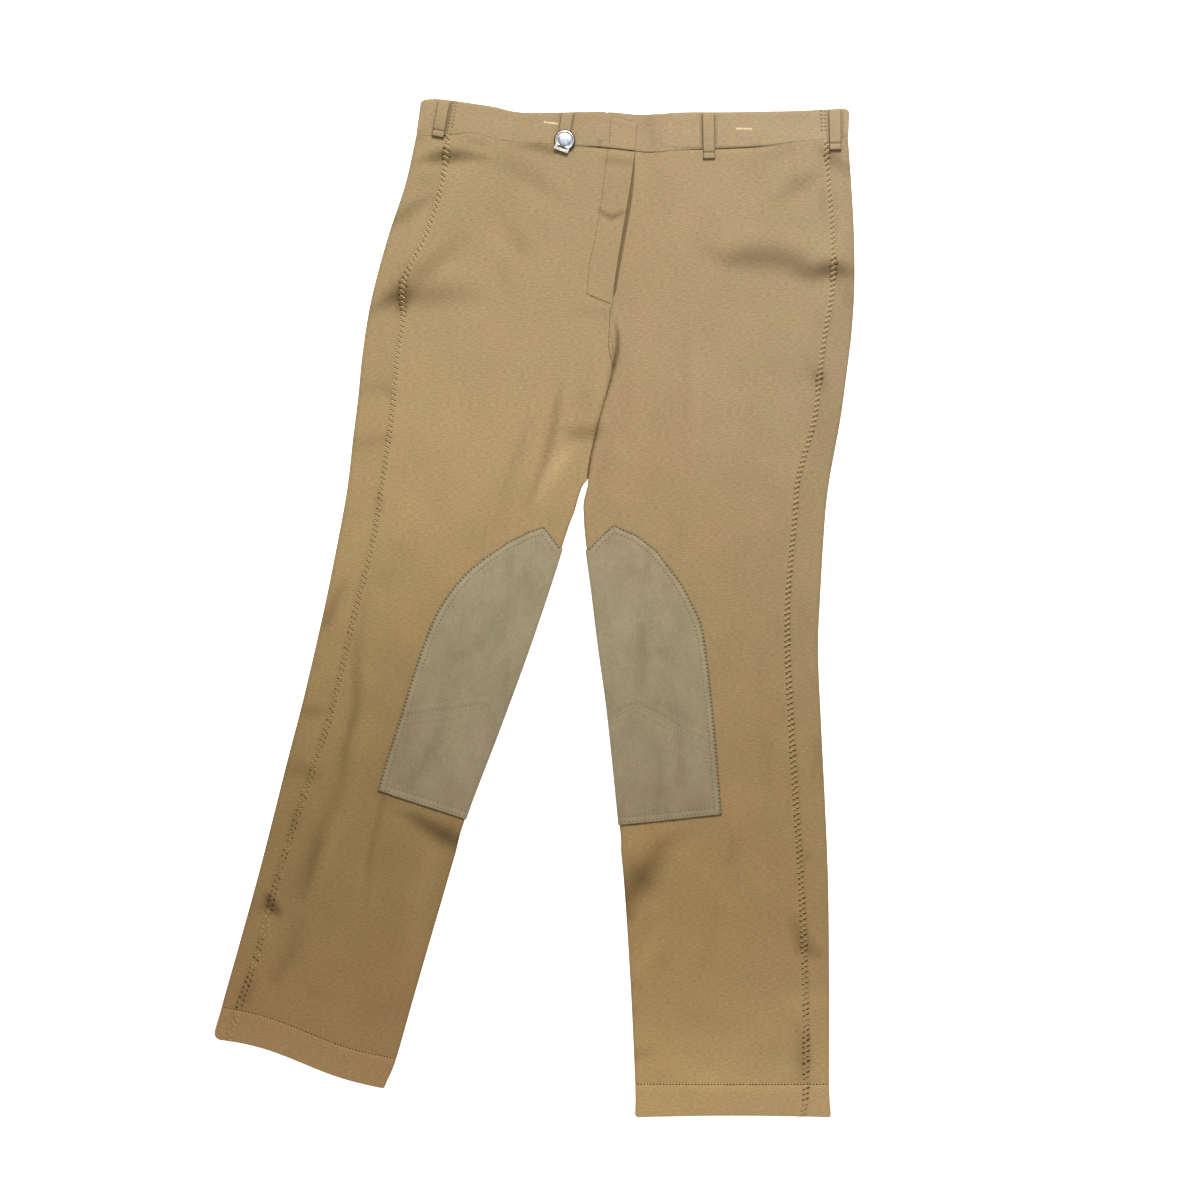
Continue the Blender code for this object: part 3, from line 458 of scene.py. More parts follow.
def ease(share):
    """0 to 1 with level ends."""
    share = np.clip(share, 0.0, 1.0)
    return share * share * (3.0 - 2.0 * share)


def bell(away, width):
    """1 in the middle of a rounded ridge, and 0 well to either side of it."""
    return np.exp(-(away / width) ** 2)


def quarter_fall(share):
    """How far a quarter circle of radius 1 has fallen at a share of the way out."""
    return 1.0 - np.sqrt(1.0 - np.clip(share, 0.0, 1.0) ** 2)


def mix(a, b, share):
    return a + (b - a) * share


def along(column, position, corner=-1):
    """Smooth value of a column at row numbers that may lie between rows, but for a corner."""
    position = np.asarray(position, dtype=float)
    last = len(column) - 1
    k = np.clip(position.astype(int), 0, last - 1)
    f = position - k
    p1, p2 = column[k], column[k + 1]
    p0 = np.where((k == 0) | (k == corner), 2.0 * p1 - p2, column[np.maximum(k - 1, 0)])
    p3 = np.where((k + 1 == last) | (k + 1 == corner), 2.0 * p2 - p1,
                  column[np.minimum(k + 2, last)])
    slope1, slope2 = (p2 - p0) / 2.0, (p3 - p1) / 2.0
    return (p1 * (1.0 + 2.0 * f) * (1.0 - f) ** 2 + slope1 * f * (1.0 - f) ** 2
            + p2 * f * f * (3.0 - 2.0 * f) - slope2 * f * f * (1.0 - f))


def at_key(rows, key, column, value):
    """Smooth value of a column where another, rising column has the given value."""
    return along(rows[column], np.interp(value, rows[key], np.arange(len(rows[key]))))


def away_from(x, y, x0, y0, x1, y1):
    """Distance of places from a straight line between two points."""
    run_x, run_y = x1 - x0, y1 - y0
    length = max(run_x ** 2 + run_y ** 2, 1e-9)
    share = np.clip(((x - x0) * run_x + (y - y0) * run_y) / length, 0.0, 1.0)
    return np.hypot(x - x0 - share * run_x, y - y0 - share * run_y)


def away_from_path(x, y, path):
    """Distance of places from a path of points."""
    return np.minimum.reduce([away_from(x, y, *a, *b) for a, b in zip(path[:-1], path[1:])])


def settled_at(lines, x, y):
    """Height, and painted shade and light, that the lines add at each place."""
    height, shade_and_soil = np.zeros_like(x), np.zeros_like(x)
    for line in lines:
        points = np.array(line if len(line) > 1 else line * 2, dtype=float)
        reach = 2.6 * points[:, 2].max()
        low, high = points[:, :2].min(axis=0) - reach, points[:, :2].max(axis=0) + reach
        near = (x > low[0]) & (x < high[0]) & (y > low[1]) & (y < high[1])
        px, py = x[near], y[near]
        best = np.full(px.shape, np.inf)
        added_height, added_shade = np.zeros_like(px), np.zeros_like(px)
        for (x0, y0, width0, amount0), (x1, y1, width1, amount1) in zip(points[:-1], points[1:]):
            run_x, run_y = (x1 - x0, y1 - y0) if (x1, y1) != (x0, y0) else (1.0, 0.0)
            length = math.hypot(run_x, run_y)
            share = ((px - x0) * run_x + (py - y0) * run_y) / length ** 2
            share = np.clip(share, 0.0, 1.0 if len(line) > 1 else 0.0)
            away_x, away_y = px - x0 - share * run_x, py - y0 - share * run_y
            width, amount = mix(width0, width1, share), mix(amount0, amount1, share)
            away = np.hypot(away_x, away_y) / width
            left = (away_y * run_x - away_x * run_y) / length / width
            fade = amount * np.exp(-away ** 2)
            step = amount * bell(away, FALL_REACH) * FALL * left
            closer = away < best
            added_height = np.where(closer, step - HOLLOW * fade, added_height)
            # painted shade in the fall, and painted light where the amount is below 0
            added_shade = np.where(closer, fade, added_shade)
            best = np.where(closer, away, best)
        height[near] += added_height
        shade_and_soil[near] += added_shade
    return height, SHADE_SHARE * shade_and_soil


def waves_at(x, y):
    """Height that the long slow waves add at each place."""
    total = np.zeros_like(x)
    for length, heading, height, phase in zip(*WAVES.values()):
        run = x * math.cos(heading) + y * math.sin(heading)
        total += height * np.sin(run / length * math.tau + phase)
    return total


class Leg:
    """One leg's tables and what sets its fork and hem apart."""

    def __init__(self, name, rows, patch, bend, fork_open, hem_corners, hem_bow):
        self.name = name
        self.rows = rows
        self.patch = patch
        self.bend = bend
        self.is_right = name == "right"
        self.fork_open = fork_open
        self.hem_corners = hem_corners
        self.hem_bow = hem_bow

    def run_to(self, station):
        """Length of the leg's middle line from the waist seam to the stations."""
        fine = np.linspace(0.0, HEM, FINE_STEPS)
        x, y = ((along(self.rows["outer_" + axis], fine)
                 + along(self.rows["inner_" + axis], fine, int(FORK))) / 2 for axis in "xy")
        run = np.concatenate([[0.0], np.cumsum(np.hypot(np.diff(x), np.diff(y)))])
        return np.interp(station, fine, run)

    def stations_at(self, runs):
        fine = np.linspace(0.0, HEM, FINE_STEPS)
        return np.interp(runs, self.run_to(fine), fine)

    def stations(self, marks, step):
        """Stations about a step apart that take in all the marks, closer at the two ends."""
        runs = self.run_to(np.array(marks))
        close = np.array([0.35, 0.8, 1.5])
        picked = [runs[0] + close, runs[-1] - close]
        for low, high in zip(runs[:-1], runs[1:]):
            picked.append(np.linspace(low, high, max(int(math.ceil((high - low) / step)), 1) + 1))
        merged = np.unique(np.round(np.concatenate(picked), 3))
        kept = self.stations_at(merged)
        for mark in marks:
            kept[np.argmin(np.abs(kept - mark))] = mark
        return kept


RIGHT = Leg("right", RIGHT_ROWS, RIGHT_PATCH, RIGHT_BEND,
            fork_open=2.6, hem_corners=(6.5, 3.5), hem_bow=-2.0)
LEFT = Leg("left", LEFT_ROWS, LEFT_PATCH, LEFT_BEND,
           fork_open=0.8, hem_corners=(3.0, 3.0), hem_bow=-1.7)


def up_and_down(station, ramps):
    """1 between two ramps, each given by its first station and its length."""
    (first, first_length), (last, last_length) = ramps
    return ease((station - first) / first_length) - ease((station - last) / last_length)


class Across:
    """Lines across a leg at an array of stations: places on them and heights of the layers."""

    def __init__(self, leg, station):
        station = np.asarray(station, dtype=float)
        rows = leg.rows
        self.leg = leg
        self.station = station
        self.x = along(rows["outer_x"], station)
        self.y = along(rows["outer_y"], station)
        run_x = along(rows["inner_x"], station, int(FORK)) - self.x
        run_y = along(rows["inner_y"], station, int(FORK)) - self.y
        self.width = np.hypot(run_x, run_y)
        self.dir_x, self.dir_y = run_x / self.width, run_y / self.width
        below_fork = station - FORK
        self.width = self.width - leg.fork_open * ease(below_fork / FORK_OPENS) * (
            1.0 - ease((below_fork - FORK_OPENS) / FORK_CLOSES))
        self.seam_in = along(rows["seam_in"], station)
        self.air = along(rows["air"], station)
        self.wall = mix(PANEL_WALL, HEM_WALL, ease((station - HEM_STITCH + HEM_BLEND / 2.0) / HEM_BLEND))
        self.round = self.wall + LAYER_GAP / 2.0
        self.curl = ease((station - FORK) / CURL_RAMP)
        self.sink = ease((station - FORK + SINK_ABOVE) / SINK_RAMP)
        self.lift = (PATCH_WALL + REST_GAP) * up_and_down(station, LIFT_RAMPS)
        self.rise = (PATCH_WALL + REST_GAP) * up_and_down(station, RISE_RAMPS)
        self.width = self.width - self.lift
        self.patch_front = at_key(leg.patch, "station", "front", station)
        self.patch_back = self.patch_front * PATCH_BACK_SHARE
        self.bow = np.maximum(0.0, 1.0 - station / WAIST_REACH) ** 2
        self.shift_y = np.where(station == 0.0, -SEAM_GAP / 2.0, 0.0)
        self.swing = HEM_SWING * ease((station - SWING_START) / SWING_RAMP) * leg.is_right
        self.near_hem = ease((station - HEM_STITCH) / (HEM - HEM_STITCH))
        self.flat_end = self.width - SEAM_GAP / 2.0 - self.round

    def at(self, across):
        """Plan position so far in from the outer fold."""
        rows = self.leg.rows
        x = self.x + self.dir_x * across
        y = self.y + self.dir_y * across
        share = (x - self.x) / (self.dir_x * self.width)
        straight = mix(rows["outer_y"][0], rows["inner_y"][0], share)
        top_x = mix(rows["outer_x"][0], rows["inner_x"][0], share)
        y = y + self.bow * (at_key(BAND_ROWS, "seam_x", "seam_y", top_x) - straight)
        share = np.clip(across / self.width, 0.0, 1.0)
        y = y + self.shift_y + self.swing * np.sin(math.tau * share)
        y = y - self.leg.hem_bow * self.near_hem * np.sin(math.pi * share)
        for radius, corner in zip(self.leg.hem_corners, (across, self.width - across)):
            y = y + self.near_hem * radius * quarter_fall(1.0 - corner / radius)
        return x, y

    def back_lift(self, across):
        """How far the back is raised where a patch lies under it."""
        clear = self.width - self.patch_back
        return self.lift * ease((across - clear + BACK_LIFT_START) / BACK_LIFT_RAMP)

    def front_under(self, across):
        """Height of the underside of the upper layer."""
        outer = ease(across / mix(0.4 * AIR_RAMP, AIR_RAMP, ease(self.station / 0.6)))
        inner, settle = (mix(1.0, ease((self.width - across) / ramp), self.sink)
                         for ramp in (AIR_RAMP, CREASE_RAMP))
        settle = ease(across / CREASE_RAMP) * settle
        x, y = self.at(across)
        back_top = self.wall + self.back_lift(across)
        rise = np.maximum(self.rise, self.lift) * ease((across - self.width + RISE_START) / RISE_RAMP)
        free = self.wall + LAYER_GAP + rise + self.air * outer * inner
        free = free + (settled_at(SETTLED, x, y)[0] + waves_at(x, y)) * settle
        over = free - back_top - LEAST_GAP
        height = back_top + LEAST_GAP + (over + np.sqrt(over ** 2 + GAP_SOFTNESS)) / 2.0
        if self.leg.is_right:
            flap = ease((FLAP_START - (self.width - across)) / FLAP_RAMP)
            flap = flap * (1.0 - ease((self.station - FLY_END) / FLAP_FADE))
            height = height + (PANEL_WALL + REST_GAP) * flap
        return height

    def back_under(self, across):
        """Height of the underside of the back, which creases up off the table in places."""
        clear = self.width - self.patch_back
        x, y = self.at(across)
        settle = ease(across / CREASE_RAMP) * ease((clear - BACK_CLEAR - across) / CREASE_RAMP)
        crease = np.minimum(7.0 * settled_at(UNDER_CREASES, x, y)[1], 1.0) * settle
        return self.back_lift(across) + BACK_CREASE * crease


def cloth_wall(name, outside, inside, cloth_map, shade_and_soil, keep=None):
    """A closed wall of cloth from two equal grids of points, over the cells that keep allows.

    The piece is smooth-shaded, with its cloth map, and its painted shade and soil on its points."""
    rows, columns = outside.shape[:2]
    cells = np.ones((rows - 1, columns - 1), bool) if keep is None else keep
    number = np.arange(rows * columns).reshape(rows, columns)
    far = rows * columns
    a, b, c, d = number[:-1, :-1], number[:-1, 1:], number[1:, 1:], number[1:, :-1]
    outer = np.stack([a, b, c, d], -1)[cells]
    faces = [outer, outer[:, ::-1] + far]
    ringed = np.pad(cells, 1)
    sides = ((a, b, ringed[:-2, 1:-1]), (b, c, ringed[1:-1, 2:]),
             (c, d, ringed[2:, 1:-1]), (d, a, ringed[1:-1, :-2]))
    for start, end, neighbour in sides:
        bare = cells & ~neighbour
        start, end = start[bare], end[bare]
        faces.append(np.stack([end, start, start + far, end + far], -1))
    faces = np.concatenate(faces)
    points = np.concatenate([outside.reshape(-1, 3), inside.reshape(-1, 3)]) * MM
    spots = np.concatenate([cloth_map.reshape(-1, 2)] * 2) * MM
    used, faces = np.unique(faces, return_inverse=True)
    faces = faces.reshape(-1, 4)
    points, spots = points[used], spots[used]
    shade_and_soil = np.concatenate([shade_and_soil.ravel(), shade_and_soil.ravel()])[used]
    p = points[faces]
    area = np.cross(p[:, 2] - p[:, 0], p[:, 3] - p[:, 1])
    if (area * p.mean(axis=1)).sum() < 0.0:
        faces = faces[:, ::-1]
    mesh = bpy.data.meshes.new(name)
    mesh.vertices.add(len(points))
    mesh.vertices.foreach_set("co", points.astype(np.float32).ravel())
    mesh.loops.add(faces.size)
    mesh.loops.foreach_set("vertex_index", faces.astype(np.int32).ravel())
    mesh.polygons.add(len(faces))
    mesh.polygons.foreach_set("loop_start", np.arange(0, faces.size, 4, dtype=np.int32))
    layer = mesh.uv_layers.new(name="cloth")
    layer.data.foreach_set("uv", spots[faces.ravel()].astype(np.float32).ravel())
    # painted shade and light, with some soil, by which the materials darken or pale the colour
    mesh.attributes.new("shade_and_soil", "FLOAT", "POINT").data.foreach_set("value", shade_and_soil.astype(np.float32))
    mesh.update(calc_edges=True)
    mesh.validate()
    mesh.shade_smooth()
    mesh.set_sharp_from_angle(angle=math.radians(50.0))
    made = bpy.data.objects.new(name, mesh)
    scene.collection.objects.link(made)
    return made


def rounding(distance, wall):
    """How far a cut edge's face falls away, so near the edge."""
    radius = 0.42 * wall
    short = np.clip(radius - distance, 0.0, radius)
    return radius - np.sqrt(radius ** 2 - short ** 2)


# ------------------------------------------------------------------------------- twill panels
# Two fronts and two backs of beige stretch twill, a dense ribbed weave with a heathered
# yarn. The backs wrap round the outer folds, and the left front runs under the fly.

SEAM_VALLEY = 0.35
VALLEY_REACH = 1.2
STRIP_DARKENING = 0.05       # darker on the strip outside the side seam, over the hips and thighs
SEAM_ROUND = 0.3        # how much less than a cut edge the sewn edge at the waist is rounded
ALLOWANCE = 8.4         # seam allowance pressed to the front, under the ladder stitch
ALLOWANCE_RISE = 0.45
LADDER_ROWS = (2.0, 5.3)
NEEDLE_DEPTH, NEEDLE_REACH = 0.16, 0.75
HEM_DEPTH, HEM_REACH = 0.30, 1.3
HEM_RIDGE, RIDGE_DOWN, RIDGE_REACH = 0.10, 4.0, 3.0
HEM_PALE = 0.10         # how much paler the turned hem has stayed
# painted shade along the folded edges, and how far in it reaches
RIM_SHADE, RIM_REACH = 0.20, 1.7
FLY_DEPTH, FLY_REACH = 0.5, 1.5
FOLD_CLOTH = 3.0        # how much cloth the outer fold is counted as taking up
NEAR_SEAM = np.array([0.0, 0.4, 0.8, 1.3, 2.0, 2.7, 3.4, 4.1, 4.7, 5.3, 6.0, 6.8, 7.6, 8.4, 9.2, 10.4])
ROW_STEP = 3.0
HEM_ROWS = (0.011, 0.022, 0.035)
CURL_ANGLES = np.radians(np.linspace(12.0, 90.0, 7))
FOLD_ANGLES = np.radians(np.linspace(18.0, 162.0, 9))
# The fly's topstitching, from the band down and hooked across to the edge.
FLY_STITCH = ((70.3, 440.8), (68.4, 426.6), (64.1, 393.3), (61.4, 374.3), (57.0, 350.6),
              (52.3, 327.8), (49.6, 303.0), (49.8, 297.5), (53.0, 294.6), (71.3, 288.2))

# The narrow fold beside the fly's edge: how wide it is, so far down from the waist.
GUTTER = table("run width", (0.0, 0.3), (35.0, 2.9), (62.0, 3.8), (98.0, 3.4), (138.0, 2.5),
               (146.0, 0.0), (160.0, 0.0))
GUTTER_DEPTH = 0.8
LAP_COLUMNS = 8         # across the left front where it runs under the fly
LAP_DROP = 0.15

for leg in (RIGHT, LEFT):
    marks = [0.0, FLY_END, FORK, PATCH_TIP, PATCH_HEM, PATCH_CLEAR]
    marks += [HEM_STITCH - s for s in HEM_ROWS[::-1]] + [HEM_STITCH]
    marks += [HEM_STITCH + s for s in HEM_ROWS] + [HEM]
    leg.grid = leg.stations(marks, ROW_STEP)[:, None]


def valley(distance):
    """How far the cloth is drawn down where it is sewn edge to edge."""
    return SEAM_VALLEY * bell(distance, VALLEY_REACH)


def seam_relief(distance):
    """Height along the side seam: its valley, and the ridge of turned cloth on the front."""
    ridge = ease((distance - 0.6) / 1.0) * (1.0 - ease((distance - ALLOWANCE) / 1.6))
    needles = sum(bell(distance - row, NEEDLE_REACH) for row in LADDER_ROWS)
    return ALLOWANCE_RISE * ridge - NEEDLE_DEPTH * needles - valley(distance)


def hem_relief(section):
    """The stitched line of the hem, and the soft edge of the turned cloth below it."""
    down = (section.station - HEM_STITCH) * (
        section.leg.run_to(HEM) - section.leg.run_to(HEM_STITCH))
    return -HEM_DEPTH * bell(down, HEM_REACH) + HEM_RIDGE * bell(down - RIDGE_DOWN, RIDGE_REACH)


def hem_pale(section):
    """How much of its dust each place on a panel is without, at the turned hem."""
    return HEM_PALE * ease((section.station - HEM_STITCH + 0.02) / 0.1)


def rim_shade(section, across):
    """The folded edges are painted a little darker, as shade where the cloth turns away."""
    return RIM_SHADE * (bell(across, RIM_REACH)
                       + bell(section.width - across, RIM_REACH) * section.curl)


def end_rounding(section):
    """How far a panel's face falls at its hem, and a little at its seam to the band."""
    run = section.leg.run_to(section.station)
    fall = rounding(section.leg.run_to(HEM) - run, section.wall)
    return np.maximum(fall, SEAM_ROUND * rounding(run, section.wall))


def grid_points(section, across, height):
    """Points on a leg's lines at distances across and heights."""
    x, y = section.at(across)
    return np.stack([x, y, np.broadcast_to(height, x.shape)], -1)


def gutter(from_edge, run):
    """The narrow fold that runs beside the fly's edge, 1 in its floor."""
    width = at_key(GUTTER, "run", "width", np.clip(run, 0.0, GUTTER["run"][-1]))
    return (1.0 - ease((from_edge - width + 0.6) / 1.0)) * ease(width / 0.8)


class Sheet:
    """A sheet of cloth as columns of points: its outer and inner face, how far round the cloth
    each column lies, and how far it is from the leg's outer fold."""

    def __init__(self):
        self.columns = ([], [], [], [])

    def lay(self, section, across, outer, inner, spread=None, inner_across=None, place=None):
        """Adds columns at distances across, with the heights of both faces."""
        spread = across if spread is None else spread
        inner_across = across if inner_across is None else inner_across
        place = across if place is None else place
        added = (grid_points(section, across, outer), grid_points(section, inner_across, inner),
                 spread, place)
        for columns, new in zip(self.columns, added):
            columns.append(new)

    def joined(self):
        return [np.concatenate(columns, axis=1) for columns in self.columns]


def curled(section, angle, out, side):
    """Where a turned inner edge, moved outwards by out, is at an angle round its curl.

    The front's is at side 1, the back's at -1."""
    under = section.front_under(section.flat_end)
    top = under + section.wall
    middle = (section.lift + top) / 2.0
    flat = under if side > 0 else section.lift
    end = mix(flat, middle + side * SEAM_GAP / 2.0, section.curl)
    across = section.flat_end + (section.round + out * section.curl) * np.sin(angle)
    reach = (top + out - end) if side > 0 else (end - section.lift + out)
    height = end + side * reach * mix(1.0, np.cos(angle), section.curl)
    return across, height


def lay_curl(sheet, section, soft_end, relief, side, shift=0.0):
    """Adds a panel's turned inner edge to its sheet; it lies flat where the legs are joined."""
    for angle in CURL_ANGLES:
        out_across, out_height = curled(section, angle, 0.0, side)
        in_across, in_height = curled(section, angle, -section.wall, side)
        in_across = mix(out_across, in_across, section.curl)
        in_height = mix(out_height - side * section.wall, in_height, section.curl)
        soft_side = rounding(section.width - SEAM_GAP / 2.0 - out_across, section.wall)
        soft = side * np.maximum(soft_end, soft_side * (1.0 - section.curl))
        sheet.lay(section, out_across, out_height + relief - soft, in_height + soft,
                  out_across + shift, in_across, out_across)


def front_panel(leg):
    """A leg's front, from the side seam to the turned inner edge or the fly."""
    section = Across(leg, leg.grid)
    start = section.seam_in + SEAM_GAP / 2.0
    near_edge, wide, close = (52.0, 52, 40) if leg.is_right else (12.0, 66, 20)
    flat_start = start + NEAR_SEAM[-1]
    turn = section.flat_end - near_edge
    across = np.concatenate([start + NEAR_SEAM, mix(flat_start, turn, np.linspace(0.0, 1.0, wide)[1:]),
                             mix(turn, section.flat_end, np.linspace(0.0, 1.0, close)[1:])], axis=1)
    under = section.front_under(across)
    relief = seam_relief(across - section.seam_in) + hem_relief(section)
    from_edge = section.width - across
    if leg.is_right:
        line = away_from_path(*section.at(across), FLY_STITCH)
        faced = ease((from_edge - 1.0) / 2.0) * (section.station < FLY_END)
        relief = relief - FLY_DEPTH * bell(line, FLY_REACH) * faced
    else:
        relief = relief - GUTTER_DEPTH * gutter(from_edge, leg.run_to(section.station))
    relief = relief - valley(from_edge) * (1.0 - section.curl) * (section.station > FLY_END)
    soft_end = end_rounding(section)
    sheet = Sheet()
    sheet.lay(section, across, under + section.wall + relief - soft_end, under + soft_end)
    lay_curl(sheet, section, soft_end, hem_relief(section), 1.0)
    if not leg.is_right:
        share = ease((FLY_END + 0.15 - section.station) / 0.5)
        for step in np.linspace(0.0, 1.0, LAP_COLUMNS + 1)[1:]:
            lap = section.width + 0.5 + FLY_LAP * share * step
            height = section.front_under(lap) - LAP_DROP
            sheet.lay(section, lap, height + section.wall - soft_end, height + soft_end)
    outside, inside, spread, place = sheet.joined()
    runs = np.broadcast_to(leg.run_to(leg.grid), spread.shape)
    # painted shade and light of the settled cloth and its folded edges, less at the turned hem
    shade_and_soil = settled_at(SETTLED, outside[..., 0], outside[..., 1])[1] - hem_pale(section)
    shade_and_soil = shade_and_soil + rim_shade(section, place)
    keep = np.ones((outside.shape[0] - 1, outside.shape[1] - 1), bool)
    if not leg.is_right:
        keep[leg.grid[1:, 0] > FLY_END + 1e-6, -LAP_COLUMNS:] = False
        # painted shadow of the fly's raised edge, in the narrow fold beside it
        shade_and_soil = shade_and_soil + 0.5 * gutter(section.width - spread, runs)
    return cloth_wall(f"twill_front_{leg.name}", outside, inside, np.stack([spread, runs], -1),
                      shade_and_soil, keep)


def back_panel(leg):
    """A leg's back, from the side seam round the outer fold to the inner edge."""
    section = Across(leg, leg.grid)
    seam_edge = section.seam_in - SEAM_GAP / 2.0
    near = np.array([0.0, 0.4, 0.9, 1.6, 2.6])
    strip = mix(seam_edge - near[-1], section.round, np.linspace(0.0, 1.0, 9)[1:])
    across = np.concatenate([seam_edge - near, strip], axis=1)
    under = section.front_under(across)
    soft_end = end_rounding(section)
    relief = hem_relief(section) * ease((across - section.round) / 3.0) - valley(section.seam_in - across)
    sheet = Sheet()
    sheet.lay(section, across, under + section.wall + relief - soft_end, under + soft_end, -across)
    half = (section.front_under(section.round) + section.wall) / 2.0
    for angle in FOLD_ANGLES:
        turned, inner_turned = (section.round - radius * np.sin(angle)
                                for radius in (section.round, section.round - section.wall))
        outer, inner = (half + rise * np.cos(angle) for rise in (half, half - section.wall))
        sheet.lay(section, turned, outer, inner, section.round * (angle - 1.0), inner_turned,
                  inner_turned)
    clear = section.width - section.patch_back
    below = np.concatenate([mix(section.round, clear - BACK_LIFT_START, np.linspace(0.0, 1.0, 26)),
                            mix(clear - 3.0, section.flat_end, np.linspace(0.0, 1.0, 12))], axis=1)
    height = section.back_under(below)
    seam = valley(section.width - below) * (1.0 - section.curl)
    sheet.lay(section, below, height + soft_end + seam, height + section.wall - soft_end,
              below + FOLD_CLOTH)
    lay_curl(sheet, section, soft_end, 0.0, -1.0, FOLD_CLOTH)
    outside, inside, spread, place = sheet.joined()
    runs = np.broadcast_to(leg.run_to(leg.grid), spread.shape)
    above = np.arange(spread.shape[1]) < across.shape[1] + len(FOLD_ANGLES) - 2
    # painted shade and light of the settled cloth above, and painted shade in the underside's creases
    # below
    shade_and_soil = np.where(above, *(settled_at(lines, outside[..., 0], outside[..., 1])[1]
                             for lines in (SETTLED, UNDER_CREASES)))
    shade_and_soil = shade_and_soil + rim_shade(section, place)
    shade_and_soil = shade_and_soil - hem_pale(section) + STRIP_DARKENING * above * ease((section.station - 2.0) / 2.0) * (
        1.0 - ease((section.station - 7.0) / 2.0))
    return cloth_wall(f"twill_back_{leg.name}", outside, inside, np.stack([spread, runs], -1), shade_and_soil)


def shader_group(name, inputs, outputs):
    """An empty shader group with named inputs and outputs, and its two end nodes."""
    group = bpy.data.node_groups.new(name, "ShaderNodeTree")
    for label, kind, value in inputs:
        socket = group.interface.new_socket(label, in_out="INPUT", socket_type=kind)
        if value is not None:
            socket.default_value = value
    for label, kind in outputs:
        group.interface.new_socket(label, in_out="OUTPUT", socket_type=kind)
    return group, group.nodes.new("NodeGroupInput"), group.nodes.new("NodeGroupOutput")


FLOAT, VECTOR = "NodeSocketFloat", "NodeSocketVector"
PINK_LEAN, GREEN_LEAN = (1.020, 0.994, 1.003), (0.978, 1.006, 0.980)
STREAK_SWING, CLOUD_SWING = 0.17, 0.05
TWILL_ROUGH = 0.86
RIB_HEIGHT = 0.00016
WEAVE_SIZES = {"Rib Pitch": 0.0007, "Streak Width": 0.0042, "Streak Length": 0.0013, "Cloud Size": 0.05}


def vector(tree, x=0.0, y=0.0, z=0.0):
    """A vector from numbers or sockets."""
    return add(tree, "ShaderNodeCombineXYZ", {"X": x, "Y": y, "Z": z}).outputs[0]


# The weave: diagonal ribs, short streaks of heathered yarn and slow clouds of tone.
weave, ends, result = shader_group(
    "ribbed_weave",
    [("Cloth", VECTOR, None), ("Place", VECTOR, None)] + [(k, FLOAT, v) for k, v in WEAVE_SIZES.items()],
    [("Rib", FLOAT), ("Streak", FLOAT), ("Cloud", FLOAT), ("Warm", FLOAT)])
given = ends.outputs
cloth_axes = add(weave, "ShaderNodeSeparateXYZ", {"Vector": given["Cloth"]}).outputs
slanted = sums(weave, "MULTIPLY_ADD", cloth_axes["X"], 1.9, cloth_axes["Y"])
swayed = sums(weave, "MULTIPLY_ADD", noise(weave, given["Cloth"], 260.0, 2.0), 0.004, slanted)
turns = sums(weave, "MULTIPLY", sums(weave, "DIVIDE", swayed, given["Rib Pitch"]), math.pi)
yarn = vector(weave, sums(weave, "DIVIDE", cloth_axes["X"], given["Streak Width"]),
              sums(weave, "DIVIDE", cloth_axes["Y"], given["Streak Length"]))
slow = add(weave, "ShaderNodeVectorMath", {
    0: given["Place"], "Scale": sums(weave, "DIVIDE", 1.0, given["Cloud Size"])},
    operation="SCALE").outputs[0]
fill(weave, result, {
    "Rib": sums(weave, "MULTIPLY_ADD", sums(weave, "SINE", turns), 0.5, 0.5),
    "Streak": noise(weave, yarn, 1.0, 2.0),
    "Cloud": noise(weave, slow, 1.0, 4.0),
    "Warm": noise(weave, slow, 1.9, 4.0, Roughness=0.6)})


def spread_about(tree, value, amount):
    """A factor near 1 that swings by the amount either way as a noise value swings."""
    return mapped(tree, value, 0.25, 0.75, 1.0 - amount, 1.0 + amount)


def scaled_colour(tree, colour, factor):
    """A colour times a factor."""
    return add(tree, "ShaderNodeVectorMath", {0: colour, "Scale": factor}, operation="SCALE").outputs[0]


def tinted(tree, colour, tint):
    """A colour times a tint."""
    return add(tree, "ShaderNodeVectorMath", {0: colour, 1: tint}, operation="MULTIPLY").outputs[0]


def blended(tree, share, low, high):
    """A colour or a tint between two."""
    inputs = {"Factor": share, "A": low, "B": high}
    return add(tree, "ShaderNodeMix", inputs, data_type="VECTOR").outputs["Result"]


def ramped(tree, share, stops):
    """The colour so far along the stops, each a position and its colour."""
    ramp = add(tree, "ShaderNodeValToRGB", {"Fac": share})
    points = ramp.color_ramp.elements
    points[0].position, points[1].position = stops[0][0], stops[-1][0]
    points[0].color, points[1].color = (*stops[0][1], 1.0), (*stops[-1][1], 1.0)
    for position, colour in stops[1:-1]:
        points.new(position).color = (*colour, 1.0)
    return ramp.outputs["Color"]


def bumped(tree, height, strength, distance):
    """The normal over a fine relief."""
    inputs = {"Height": height, "Strength": strength, "Distance": distance}
    return add(tree, "ShaderNodeBump", inputs).outputs["Normal"]


def shaded_and_soiled(tree, colour):
    """The colour darkened and browned by the painted shade and soil that a piece's points carry, and
    paled by painted light.
    """
    shade_and_soil = add(tree, "ShaderNodeAttribute", attribute_name="shade_and_soil").outputs["Fac"]
    left = add(tree, "ShaderNodeVectorMath", {
        0: vector(tree, shade_and_soil, shade_and_soil, shade_and_soil), 1: (-1.0, -1.07, -1.2), 2: (1.0, 1.0, 1.0)},
        operation="MULTIPLY_ADD").outputs[0]
    return tinted(tree, colour, left)


